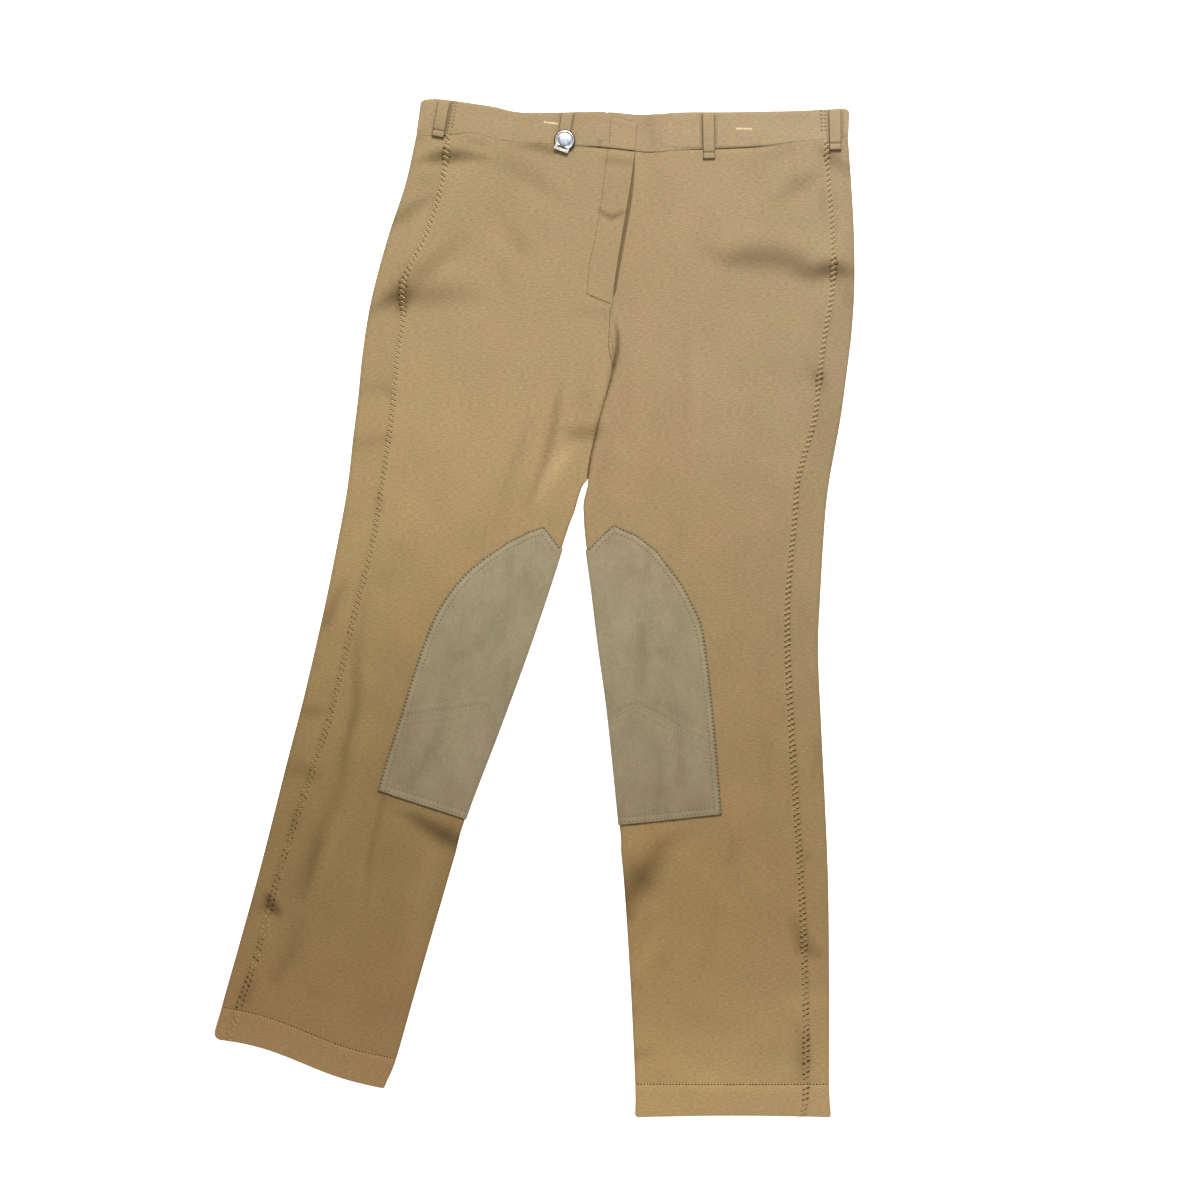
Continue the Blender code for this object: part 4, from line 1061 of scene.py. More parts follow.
def woven_material(name, stops, axis="Y", low=-0.48, high=0.48, tints=None):
    """Twill that runs through the colours of its stops along an axis, from low to high.

    tints are an X and a tint, and a second X and tint, that the cloth leans to across it."""
    made, tree, shader, place = blank_material(name)
    cloth = add(tree, "ShaderNodeUVMap", uv_map="cloth").outputs["UV"]
    grain = add(tree, "ShaderNodeGroup", node_tree=weave)
    fill(tree, grain, {"Cloth": cloth, "Place": place, **WEAVE_SIZES})
    grain = grain.outputs
    axes = add(tree, "ShaderNodeSeparateXYZ", {"Vector": place}).outputs
    wander = sums(tree, "MULTIPLY_ADD", grain["Cloud"], 0.06, axes[axis])
    swing = sums(tree, "MULTIPLY", spread_about(tree, grain["Streak"], STREAK_SWING),
                 spread_about(tree, grain["Cloud"], CLOUD_SWING))
    colour = ramped(tree, mapped(tree, wander, low + 0.03, high + 0.03), stops)
    base = scaled_colour(tree, colour, swing)
    if tints:
        over = mapped(tree, axes["X"], tints[0], tints[2])
        base = tinted(tree, base, blended(tree, over, tints[1], tints[3]))
    warmth = mapped(tree, grain["Warm"], 0.35, 0.65)
    base = blended(tree, warmth, tinted(tree, base, GREEN_LEAN), tinted(tree, base, PINK_LEAN))
    relief = sums(tree, "MULTIPLY_ADD", grain["Rib"], 0.25, grain["Streak"])
    rough = mapped(tree, grain["Rib"], least=TWILL_ROUGH + 0.06, most=TWILL_ROUGH - 0.04)
    fill(tree, shader, {
        "Base Color": shaded_and_soiled(tree, base), "Roughness": rough,
        "Normal": bumped(tree, relief, 0.6, RIB_HEIGHT), "Sheen Weight": 0.18,
        "Sheen Roughness": 0.5, "Specular IOR Level": 0.25})
    return made


# The cloth's colours down each leg: darker from the thighs to the calves, partly painted shade where the
# light from past the waist falls off, and paler where the hem's turned layers have kept clean.
RIGHT_STOPS = (
    (0.05, (0.209, 0.127, 0.053)),
    (0.12, (0.197, 0.118, 0.046)),
    (0.20, (0.178, 0.114, 0.043)),
    (0.33, (0.183, 0.119, 0.045)),
    (0.47, (0.220, 0.148, 0.062)),
    (0.60, (0.262, 0.182, 0.082)),
    (0.68, (0.273, 0.190, 0.090)),
    (0.76, (0.262, 0.186, 0.092)),
    (0.84, (0.248, 0.177, 0.089)),
    (0.95, (0.242, 0.175, 0.089)),
)
LEFT_STOPS = (
    (0.05, (0.292, 0.195, 0.084)),
    (0.12, (0.247, 0.159, 0.066)),
    (0.20, (0.224, 0.143, 0.056)),
    (0.33, (0.222, 0.145, 0.061)),
    (0.47, (0.230, 0.157, 0.073)),
    (0.60, (0.248, 0.172, 0.086)),
    (0.68, (0.258, 0.180, 0.096)),
    (0.76, (0.253, 0.180, 0.098)),
    (0.84, (0.245, 0.175, 0.094)),
    (0.95, (0.258, 0.185, 0.102)),
)
twill_right = woven_material("stretch_twill_right", RIGHT_STOPS,
                             tints=(-0.15, (1.0, 1.0, 0.975), 0.03, (1.0, 1.0, 1.03)))
twill_left = woven_material("stretch_twill_left", LEFT_STOPS,
                            tints=(0.10, (1.008, 1.0, 0.96), 0.28, (0.975, 1.0, 1.04)))

front_right, front_left = front_panel(RIGHT), front_panel(LEFT)
back_right, back_left = back_panel(RIGHT), back_panel(LEFT)
for piece, node in ((front_right, "front_right"), (front_left, "front_left"),
                    (back_right, "back_right"), (back_left, "back_left")):
    piece.data.materials.append(twill_right if node.endswith("right") else twill_left)
    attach(piece, "root")
    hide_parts(node)

# --------------------------------------------------------------------------------- waistband
# A doubled band of the same twill, sewn round the top of the legs. It is one long piece
# round the back and two at the front, the right one carrying the tab over the fly.

BAND_TOP = 2.0 * BAND_WALL + LAYER_GAP
BAND_ROUND = BAND_TOP / 2.0
BAND_LENGTH = BAND_ROWS["seam_x"][-1] - BAND_ROWS["seam_x"][0]
BAND_CENTRE = RIGHT_ROWS["inner_x"][0] - BAND_ROWS["seam_x"][0]
BAND_HEIGHT = BAND_ROWS["top_y"][0] - BAND_ROWS["seam_y"][0]
TAB_FALL_START, TAB_FALL_END = 176.0, 188.0
TAB_FALL, TAB_CORNER_FALL = 5.3, 3.2
BAND_SHARES = np.array([0.0, 0.012, 0.03, 0.055, 0.1, 0.17, 0.25, 0.34, 0.43, 0.52, 0.61, 0.7,
                        0.79, 0.87, 0.93, 0.965, 0.985, 1.0])[:, None]
BAND_STEP = 1.3
BAND_CORNER = 5.5
BAND_PRESSED = 0.28     # how much flatter the band is where its seam meets the outer folds
BAND_WAVING = 1.6       # its waves are this much closer together than a leg's
BAND_WAVE_SHARE = 0.55  # and this much as high
BAND_ROLL = 0.35        # how far it stands just below its top edge


def band_places(runs, shares):
    """Plan places on the band at distances along its seam from the right fold."""
    position = np.interp(BAND_ROWS["seam_x"][0] + runs, BAND_ROWS["seam_x"],
                         np.arange(len(BAND_ROWS["seam_x"])))
    seam_x = BAND_ROWS["seam_x"][0] + runs
    seam_y = along(BAND_ROWS["seam_y"], position) + SEAM_GAP / 2.0
    x = mix(seam_x, along(BAND_ROWS["top_x"], position), shares)
    corner = BAND_CORNER - np.minimum(np.minimum(runs, BAND_LENGTH - runs), BAND_CORNER)
    fall = BAND_CORNER - np.sqrt(BAND_CORNER ** 2 - corner ** 2)
    y = mix(seam_y, along(BAND_ROWS["top_y"], position) - fall, shares)
    return x, y


def even(low, high, step):
    """Values from low to high, about a step apart."""
    return np.linspace(low, high, max(int(round(abs(high - low) / step)), 1) + 1)


def band_piece(name, columns, free_ends=(False, False)):
    """A piece of the band from its columns: outer and inner distance and height, and reach."""
    outer_run, outer_z, inner_run, inner_z, full = (np.array(c)[None, :] for c in zip(*columns))
    soft = np.maximum(SEAM_ROUND * rounding(BAND_SHARES * BAND_HEIGHT, BAND_WALL),
                      rounding((1.0 - BAND_SHARES) * BAND_HEIGHT, BAND_WALL))
    for end, free in zip((0, -1), free_ends):
        if free:
            soft = np.maximum(soft, rounding(np.abs(outer_run - outer_run[:, end]), BAND_WALL))
    up = np.sign(outer_z - inner_z) * np.where(np.abs(outer_run - inner_run) < 1e-6, 1.0, 0.0)
    out_x, out_y = band_places(outer_run, BAND_SHARES * full)
    in_x, in_y = band_places(inner_run, BAND_SHARES * full)
    on_top = outer_z > BAND_TOP - 0.1
    loose = waves_at(out_x * BAND_WAVING, out_y * BAND_WAVING) * BAND_WAVE_SHARE * on_top
    near_fold = 1.0 - ease(np.minimum(outer_run, BAND_LENGTH - outer_run) / 26.0)
    pressed = 1.0 - BAND_PRESSED * near_fold * (1.0 - ease(BAND_SHARES * BAND_HEIGHT / 9.0))
    rolled = BAND_ROLL * bell((1.0 - BAND_SHARES) * BAND_HEIGHT - 4.0, 4.0) * (up > 0)
    outside = np.stack([out_x, out_y, (outer_z + loose + rolled - soft * up) * pressed], -1)
    inside = np.stack([in_x, in_y, (inner_z + loose * (up > 0) + soft * up) * pressed], -1)
    runs = np.cumsum(np.hypot(np.diff(outer_run, prepend=outer_run[:, :1]),
                              np.diff(outer_z, prepend=outer_z[:, :1])), axis=1)
    cloth_map = np.stack([np.broadcast_to(runs, out_x.shape),
                          np.broadcast_to(BAND_SHARES * BAND_HEIGHT, out_x.shape)], -1)
    # painted shade and light on the band's top, with the shadows beside the loops
    shade_and_soil = settled_at(SETTLED, out_x, out_y)[1] * on_top
    return cloth_wall(name, outside, inside, cloth_map, shade_and_soil)


def tab_share(run):
    """Share of the band's height that the right front has, less over the fly tab."""
    fall = TAB_FALL * ease((run - TAB_FALL_START) / (TAB_FALL_END - TAB_FALL_START))
    fall += TAB_CORNER_FALL * ease((run - TAB_FALL_END) / (BAND_CENTRE - TAB_FALL_END))
    return 1.0 - fall / BAND_HEIGHT


def upper(run, raised=0.0, full=1.0):
    """A column of the band's upper layer, which lies raised by so much over the fly."""
    top = BAND_TOP + raised
    return run, top, run, top - BAND_WALL, full


def lower(run):
    """A column of its lower layer."""
    return run, 0.0, run, BAND_WALL, 1.0


def band_fold(angle, middle, side):
    """A column of its fold at either end, at an angle from the top."""
    sine, cosine = side * math.sin(angle), math.cos(angle)
    inner_round = BAND_ROUND - BAND_WALL
    return (middle + BAND_ROUND * sine, BAND_ROUND + BAND_ROUND * cosine,
            middle + inner_round * sine, BAND_ROUND + inner_round * cosine, 1.0)


right_seam = RIGHT_ROWS["seam_in"][0]
left_seam = BAND_LENGTH - LEFT_ROWS["seam_in"][0]
half_gap = SEAM_GAP / 2.0
left_end = BAND_LENGTH - BAND_ROUND
round_back = [upper(run) for run in even(right_seam - half_gap, BAND_ROUND, BAND_STEP)]
round_back += [band_fold(angle, BAND_ROUND, -1.0) for angle in FOLD_ANGLES]
round_back += [lower(run) for run in even(BAND_ROUND, left_end, 4.0)]
round_back += [band_fold(angle, left_end, 1.0) for angle in FOLD_ANGLES[::-1]]
round_back += [upper(run) for run in even(left_end, left_seam + half_gap, BAND_STEP)]
band_back = band_piece("band_back", round_back)

lap_start = BAND_CENTRE - FLY_LAP
right_runs = np.concatenate([even(right_seam + half_gap, BAND_CENTRE - 2.0, BAND_STEP),
                             BAND_CENTRE - np.array([1.3, 0.8, 0.4, 0.15])])
band_right = band_piece(
    "band_front_right",
    [upper(run, ease((run - lap_start + 22.0) / 16.0) * (BAND_WALL + REST_GAP), tab_share(run))
     for run in right_runs], free_ends=(False, True))
left_runs = even(lap_start, left_seam - half_gap, BAND_STEP)
band_left = band_piece("band_front_left", [upper(run) for run in left_runs])

# Along the band from the right fold to the left one.
BAND_STOPS = ((0.0, (0.250, 0.182, 0.096)), (0.45, (0.253, 0.181, 0.103)),
              (0.60, (0.266, 0.193, 0.111)), (1.0, (0.276, 0.208, 0.122)))
band_twill = woven_material("waistband_twill", BAND_STOPS, axis="X", low=-0.11, high=0.30)
for piece, node in ((band_back, "waistband_back"), (band_right, "waistband_front_right"),
                    (band_left, "waistband_front_left")):
    piece.data.materials.append(band_twill)
    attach(piece, "root")
    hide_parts(node)

# -------------------------------------------------------------------------------- belt loops
# Four narrow strips of the same twill with their edges turned in. Each is caught in the
# band's top, bows over the band, and is folded under and tacked below its seam.

LOOP_WALL = 1.2
LOOP_WIDTH = 11.5
LOOP_BOW = 1.1
LOOP_FOOT = 6.0
TACK_DEPTH = 0.45
END_FALL, END_REACH = 0.9, 1.3
SIDE_FALL = 0.55
TURNED_RIDGE = 0.12     # over the turned-in edges
LOOPS = table(
    "top_x top_y foot_x foot_y",
    (-86.0, 479.5, -92.0, 446.5),
    (31.0, 468.5, 26.0, 436.5),
    (164.5, 468.0, 165.2, 425.6),
    (284.2, 472.5, 284.8, 434.2),
)
LOOP_NAMES = ("side_right", "front_right", "front_left", "side_left")
LOOP_REST = BAND_TOP + REST_GAP
LOOP_ACROSS = np.array([-0.5, -0.485, -0.45, -0.4, -0.3, -0.15, 0.0, 0.15, 0.3, 0.4, 0.45, 0.485, 0.5])


def belt_loop(name, top_x, top_y, foot_x, foot_y):
    """A loop from its top to its foot, where it is folded under and tacked."""
    run_x, run_y = foot_x - top_x, foot_y - top_y
    length = math.hypot(run_x, run_y)
    side_x, side_y = -run_y / length, run_x / length
    foot = length - LOOP_FOOT
    down = np.concatenate([even(0.0, foot - 1.0, 1.1), [foot - 0.4, foot, foot + 0.5, foot + 1.2],
                           even(foot + 2.2, length - 1.2, 1.2), [length - 0.7, length - 0.3, length]])
    down = down[:, None]
    across = LOOP_ACROSS[None, :]
    bow = LOOP_BOW * np.sin(math.pi * np.clip(down / foot, 0.0, 1.0)) ** 0.6
    folded = ease((down - foot) / 1.2)
    thick = LOOP_WALL * (1.0 + folded)
    tack = -TACK_DEPTH * bell(down - foot - 0.3, 0.7)
    end_round = END_FALL * quarter_fall(1.0 - (length - down) / END_REACH)
    side = SIDE_FALL * quarter_fall((np.abs(across) - 0.44) / 0.06)
    ridge = TURNED_RIDGE * bell(np.abs(across) - 0.36, 0.07)
    x = top_x + run_x * down / length + side_x * across * LOOP_WIDTH
    y = top_y + run_y * down / length + side_y * across * LOOP_WIDTH
    outside = np.stack([x, y, LOOP_REST + bow + thick + tack - end_round - side + ridge], -1)
    inside = np.stack([x, y, np.broadcast_to(LOOP_REST + bow, x.shape)], -1)
    cloth_map = np.stack([np.broadcast_to(across * LOOP_WIDTH, x.shape),
                          np.broadcast_to(down, x.shape)], -1)
    # painted shade along the loop's edges, across its fold at the foot and on its folded-under end, over
    # a little wear all over
    shade_and_rub = 0.62 * ease((np.abs(across) - 0.42) / 0.06) + 0.30 * bell(down - foot + 0.6, 0.9)
    shade_and_rub = 0.04 + np.maximum(shade_and_rub, 0.35 * ease((down - length + 1.6) / 1.6))
    return cloth_wall(name, outside, inside, cloth_map, np.broadcast_to(shade_and_rub, x.shape).copy())


for name, *ends_of_loop in zip(LOOP_NAMES, *LOOPS.values()):
    loop = belt_loop(f"loop_{name}", *ends_of_loop)
    loop.data.materials.append(band_twill)
    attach(loop, "root")
    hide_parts(f"belt_loop_{name}")

# ------------------------------------------------------------------------------ knee patches
# Suede patches in two pieces over the inside of each knee, wrapped round the inseam. Their
# edges are topstitched twice, and so is the bent seam between the pieces.

PATCH_STEP = 1.7
PATCH_EDGE_ROWS = (2.0, 7.2)
PATCH_SEAM_ROWS = (2.4, 8.6)
ROW_DEEP, ROW_SHALLOW, ROW_REACH = 0.30, 0.22, 0.9
PATCH_PROUD = 0.75      # how far a patch stands at its lower hem, where it puckers


def bend_rise(leg, share):
    """Stations by which the patch's seam lies above its row, at a share of the way in."""
    return np.interp(share, leg.bend["share"], leg.bend["rise"]) / STATION_STEP


class PatchFace:
    """The front or the back of a patch piece: its lines across the leg and the places on them.

    cover is how far it reaches, as a share of the front's reach."""

    def __init__(self, leg, stations, trim, shares, cover):
        stations = stations[:, None]
        shift = np.where(stations == PATCH_SEAM, trim, 0.0)
        fade = np.maximum(0.0, 1.0 - np.abs(stations - PATCH_SEAM) / BEND_FADE)
        slope = np.maximum(0.0, (PATCH_CORNER - stations) / (PATCH_CORNER - PATCH_TIP))
        self.section = Across(leg, stations + shift - bend_rise(leg, shares) * fade)
        self.line = Across(leg, stations + shift - bend_rise(leg, 1.0) * fade)
        width, tip = self.section.width, float(at_key(leg.patch, "station", "front", PATCH_TIP)) * cover
        edge = width - (self.section.patch_front if cover == 1.0 else self.section.patch_back)
        self.across = mix(edge, mix(self.section.flat_end, width - tip + 3.0, slope), shares)
        self.x, self.y = self.section.at(self.across)


def front_face(leg, stations, trim):
    """The front of a patch piece, which is finer near the patch's outer edge."""
    near = np.array([0.0, 0.004, 0.01, 0.02, 0.035])
    shares = np.concatenate([near, np.linspace(0.035, 1.0, int(96 / PATCH_STEP))[1:]])[None, :]
    return PatchFace(leg, stations, trim, shares, 1.0)


def patch_piece(leg, name, stations, trim, outline, seam_line):
    """One piece of a knee patch; trim moves its seam edge back by half the seam gap."""
    front = front_face(leg, stations, trim)
    section, line, across = front.section, front.line, front.across
    near, far = REST_GAP, REST_GAP + PATCH_WALL
    from_edge = away_from_path(front.x, front.y, outline)
    from_seam = away_from_path(front.x, front.y, seam_line)
    relief = 0.10 * ease(from_edge / 3.0)
    for row, depth in zip(PATCH_EDGE_ROWS, (ROW_DEEP, ROW_SHALLOW)):
        relief = relief - depth * bell(from_edge - row, ROW_REACH)
    for row in PATCH_SEAM_ROWS:
        relief = relief - ROW_SHALLOW * bell(from_seam - row, ROW_REACH)
    relief = relief - SEAM_VALLEY * bell(from_seam, 1.4) - 0.8 * rounding(from_edge, PATCH_WALL)
    hem_down = leg.run_to(np.array(PATCH_HEM)) - leg.run_to(section.station)
    puckers = 1.0 + 0.35 * np.sin(front.x / 6.5) * np.sin(front.x / 2.9)
    top = section.front_under(across) + section.wall + PATCH_PROUD * bell(hem_down, 5.0) * puckers
    sheet = Sheet()
    sheet.lay(section, across, top + far + relief, top + near)
    for side, angles in ((1.0, CURL_ANGLES), (-1.0, CURL_ANGLES[-2::-1])):
        for angle in angles:
            turned, height = curled(line, angle, far, side)
            inner_turned, inner_height = curled(line, angle, near, side)
            turn = angle if side > 0 else math.pi - angle
            sheet.lay(line, turned, height, inner_height, line.flat_end + 3.0 * turn, inner_turned)
    back = PatchFace(leg, stations, trim, np.linspace(1.0, 0.0, 34)[None, :], PATCH_BACK_SHARE)
    under, below = back.section, back.across
    sheet.lay(under, below, under.lift - far, under.lift - near, 2.0 * under.width + 8.0 - below)
    columns = across.shape[1]
    outside, inside, spread, _ = sheet.joined()
    runs = np.broadcast_to(leg.run_to(stations)[:, None], spread.shape)
    keep = np.ones((len(stations) - 1, spread.shape[1] - 1), bool)
    curl_start, curl_end = columns - 1, columns - 1 + 2 * len(CURL_ANGLES)
    keep[stations[:-1] < PATCH_CORNER - 1e-6, curl_start:curl_end] = False
    # painted shade and light of the settled cloth, then painted shade along the patch's outer edge and
    # painted light a little inside it
    shade_and_soil = settled_at(SETTLED, outside[..., 0], outside[..., 1])[1]
    shade_and_soil[:, :columns] += 0.34 * bell(from_edge, 0.9) - 0.05 * bell(from_edge - 3.6, 1.8)
    shade_and_soil[:, columns + len(CURL_ANGLES):] = 0.0
    return cloth_wall(name, outside, inside, np.stack([spread, runs], -1), shade_and_soil, keep)


def nappy_material(name, colour, pale, dark):
    """Suede: a short cloudy nap brushed down the leg, with worn pale and soiled dark places."""
    made, tree, shader, place = blank_material(name)
    cloth = add(tree, "ShaderNodeUVMap", uv_map="cloth").outputs["UV"]
    brushed = add(tree, "ShaderNodeMapping", {"Vector": cloth, "Scale": (62.0, 30.0, 1.0)}).outputs[0]
    clouds = noise(tree, brushed, 1.0, 5.0, Roughness=0.7)
    cloudy = sums(tree, "MULTIPLY_ADD", noise(tree, place, 17.0, 2.0), 0.6, clouds)
    stops = ((0.0, dark), (0.5, colour), (1.0, pale))
    base = ramped(tree, mapped(tree, cloudy, 0.55, 1.05), stops)
    nap = noise(tree, place, 420.0, 4.0, Roughness=0.7)
    axes = add(tree, "ShaderNodeSeparateXYZ", {"Vector": place}).outputs
    fall = mapped(tree, axes["Y"], -0.2, 0.06, 0.86, 1.07)
    base = scaled_colour(tree, base, sums(tree, "MULTIPLY", spread_about(tree, nap, 0.13), fall))
    hue = noise(tree, place, 70.0, 4.0, Roughness=0.65)
    lean = sums(tree, "MULTIPLY_ADD", axes["Y"], -1.2, hue)
    top = mapped(tree, axes["Y"], -0.02, 0.06, most=0.36)
    lean = sums(tree, "MULTIPLY_ADD", top, mapped(tree, axes["X"], 0.0, 0.03), lean)
    rosy, mossy = tinted(tree, base, (1.035, 0.982, 1.005)), tinted(tree, base, (0.970, 1.018, 0.985))
    base = blended(tree, mapped(tree, lean, 0.36, 0.74), mossy, rosy)
    fill(tree, shader, {
        "Base Color": shaded_and_soiled(tree, base), "Roughness": mapped(tree, clouds, least=0.98, most=0.86),
        "Normal": bumped(tree, nap, 0.7, 0.00025), "Sheen Weight": 0.35, "Sheen Roughness": 0.4,
        "Specular IOR Level": 0.15})
    return made


suede = nappy_material("patch_suede", (0.212, 0.177, 0.106), (0.236, 0.198, 0.122),
                       (0.186, 0.153, 0.094))
half_seam = SEAM_GAP / 2.0 / STATION_STEP
patches = []
for leg in (RIGHT, LEFT):
    upper_rows = leg.stations([PATCH_TIP, PATCH_CORNER, PATCH_SEAM], PATCH_STEP)
    upper_rows = upper_rows[upper_rows >= PATCH_TIP]
    lower_rows = leg.stations([PATCH_SEAM, PATCH_HEM], PATCH_STEP)
    lower_rows = lower_rows[lower_rows >= PATCH_SEAM]
    above, below = front_face(leg, upper_rows, 0.0), front_face(leg, lower_rows, 0.0)
    corner = int(np.argmin(np.abs(upper_rows - PATCH_CORNER)))
    slant = list(zip(above.x[:corner + 1, -1], above.y[:corner + 1, -1]))
    side = list(zip(np.concatenate([above.x[:, 0], below.x[1:, 0]]),
                    np.concatenate([above.y[:, 0], below.y[1:, 0]])))
    bottom = list(zip(below.x[-1], below.y[-1]))
    leg.patch_sides = (slant[::-1], side, bottom)
    edge = slant[::-1] + side + bottom[1:]
    leg.patch_seam = list(zip(below.x[0], below.y[0]))
    outline = edge[::2] + edge[-1:]
    seam_line = leg.patch_seam[::2] + leg.patch_seam[-1:]
    for part, rows, trim in (("upper", upper_rows, -half_seam), ("lower", lower_rows, half_seam)):
        patch = patch_piece(leg, f"suede_{part}_{leg.name}", rows, trim, outline, seam_line)
        patch.data.materials.append(suede)
        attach(patch, "root")
        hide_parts(f"knee_patch_{part}_{leg.name}")
        patches.append(patch)

# ------------------------------------------------------------------------------------- badge
# A small silvered disc with a slotted tab, slipped on a belt loop and kept still by it. Its
# face is plain: a raised rim round a shallow domed middle.

BADGE_X, BADGE_Y = 28.3, 442.8
BADGE_RADIUS = 9.2
BADGE_TURN = math.radians(-21.0)
BADGE_TAB_WIDTH = 14.4
BADGE_TAB_DROP = 11.0
BADGE_TAB_TOP = -3.4
BADGE_SLOT_WIDTH, BADGE_SLOT_HEIGHT, BADGE_SLOT_DROP = 9.0, 2.2, 7.2
BADGE_BASE = LOOP_REST + LOOP_BOW + LOOP_WALL + REST_GAP / 2.0
# Rings of the disc from its back inwards: radius as a share, height, and how dark it is painted,
# as shade round its back edge, and darker in the groove inside its rim.
BADGE_RINGS = table(
    "share height dark",
    (1.02, 0.0, 0.9), (1.09, 0.25, 0.93), (1.08, 0.6, 0.93), (1.01, 1.2, 0.93), (0.97, 1.5, 0.0),
    (0.90, 1.5, 0.0), (0.86, 1.38, 0.06), (0.84, 1.05, 0.16), (0.80, 0.98, 0.10), (0.62, 1.02, 0.02),
    (0.58, 1.2, 0.0), (0.5, 1.3, 0.0), (0.34, 1.36, 0.0), (0.17, 1.4, 0.0), (0.02, 1.41, 0.0),
)
BADGE_FLAT = 4.4        # below this the disc's edge is drawn in, over the slot
BADGE_DRAWN = 1.6       # and reaches no further than this past it
BADGE_SIDES = 48


def badge_disc():
    """The disc's points with their darkness, and its faces: rings, and flat at the back."""
    turns = np.linspace(0.0, math.tau, BADGE_SIDES + 1)[:-1]
    points, faces = [], []
    for share, height, dark in zip(*BADGE_RINGS.values()):
        for turn in turns:
            x, y = BADGE_RADIUS * share * math.cos(turn), BADGE_RADIUS * share * math.sin(turn)
            if y < -BADGE_FLAT:
                y = -BADGE_FLAT - BADGE_DRAWN * math.tanh((-BADGE_FLAT - y) / BADGE_DRAWN)
            points.append((x, y, height, dark))
    count, rings = BADGE_SIDES, len(BADGE_RINGS["share"])
    for start in range(0, (rings - 1) * count, count):
        for k in range(count):
            a, b = start + k, start + (k + 1) % count
            faces.append((a, b, b + count, a + count))
    faces.append(tuple(range((rings - 1) * count, rings * count)))
    faces.append(tuple(range(count))[::-1])
    return points, faces


def badge_tab():
    """The tab below the disc, layer by layer from its back up and down into its dark slot."""
    def corners(width, top, bottom):
        return [(-width / 2.0, top), (width / 2.0, top), (width / 2.0, bottom), (-width / 2.0, bottom)]

    slot_half = BADGE_SLOT_HEIGHT / 2.0
    outer = corners(BADGE_TAB_WIDTH, BADGE_TAB_TOP, -BADGE_TAB_DROP)
    inner = corners(BADGE_SLOT_WIDTH, slot_half - BADGE_SLOT_DROP, -slot_half - BADGE_SLOT_DROP)
    # Each layer's outline, how far it is drawn in, its height, and how dark it is painted, as shade
    # round its back edge and down into its slot.
    layers = ((outer, -0.1, 0.0, 0.9), (outer, -0.7, 0.25, 0.93), (outer, -0.6, 0.6, 0.93),
              (outer, 0.25, 1.05, 0.0), (outer, 0.8, 1.05, 0.0), (inner, -0.6, 0.85, 0.45),
              (inner, 0.0, 0.7, 0.92), (inner, 0.1, 0.2, 0.96))
    points, faces = [], []
    for ring, shrink, height, dark in layers:
        middle_x = sum(x for x, y in ring) / 4.0
        middle_y = sum(y for x, y in ring) / 4.0
        for x, y in ring:
            points.append((x - math.copysign(shrink, x - middle_x),
                           y - math.copysign(shrink, y - middle_y), height, dark))
    for ring in range(len(layers) - 1):
        for k in range(4):
            n = (k + 1) % 4
            faces.append((ring * 4 + n, ring * 4 + k, ring * 4 + 4 + k, ring * 4 + 4 + n))
    last = 4 * len(layers) - 4
    faces += [(0, 1, 2, 3), (last + 3, last + 2, last + 1, last)]
    return points, faces


badge_points, badge_faces = [], []
for points, faces in (badge_disc(), badge_tab()):
    start = len(badge_points)
    badge_points += points
    badge_faces += [tuple(start + k for k in face) for face in faces]
turned = [((BADGE_X + x * math.cos(BADGE_TURN) - y * math.sin(BADGE_TURN)) * MM,
           (BADGE_Y + x * math.sin(BADGE_TURN) + y * math.cos(BADGE_TURN)) * MM,
           (BADGE_BASE + z) * MM) for x, y, z, dark in badge_points]
badge_mesh = bpy.data.meshes.new("silvered_badge")
badge_mesh.from_pydata(turned, [], badge_faces)
# how dark each point is painted: shade round the badge's edge and in its slot
badge_shade = badge_mesh.attributes.new("shade_and_soil", "FLOAT", "POINT").data
badge_shade.foreach_set("value", np.array([dark for x, y, z, dark in badge_points]))
badge_mesh.shade_smooth()
badge_mesh.set_sharp_from_angle(angle=math.radians(40.0))
badge = bpy.data.objects.new("silvered_badge", badge_mesh)
scene.collection.objects.link(badge)

silver, tree, shader, place = blank_material("silvered_metal")
shade_and_rub = noise(tree, place, 420.0, 3.0)
from_middle = add(tree, "ShaderNodeVectorMath", {
    0: place, 1: (BADGE_X * MM, BADGE_Y * MM, (BADGE_BASE + 1.3) * MM)}, operation="DISTANCE")
outwards = mapped(tree, from_middle.outputs["Value"], 0.0066, 0.0080)
face = blended(tree, outwards, (0.34, 0.36, 0.44), (0.43, 0.41, 0.365))
mottled = scaled_colour(tree, face, spread_about(tree, shade_and_rub, 0.10))
# the badge's painted shade darkens its colour here
fill(tree, shader, {"Base Color": shaded_and_soiled(tree, mottled), "Metallic": 1.0,
                    "Roughness": mapped(tree, shade_and_rub, 0.3, 0.7, 0.24, 0.42)})
badge_mesh.materials.append(silver)
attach(badge, "root")
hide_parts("badge")

# ---------------------------------------------------------------------------------- stitching
# Beige and brown thread: a twin-needle ladder down each side seam, and single topstitching
# along the fly and the hems and at the band's ends. The patches' thread is a dark olive, and
# two bar tacks on the band are cream.

GEOMETRY, MATERIAL, INTEGER = "NodeSocketGeometry", "NodeSocketMaterial", "NodeSocketInt"


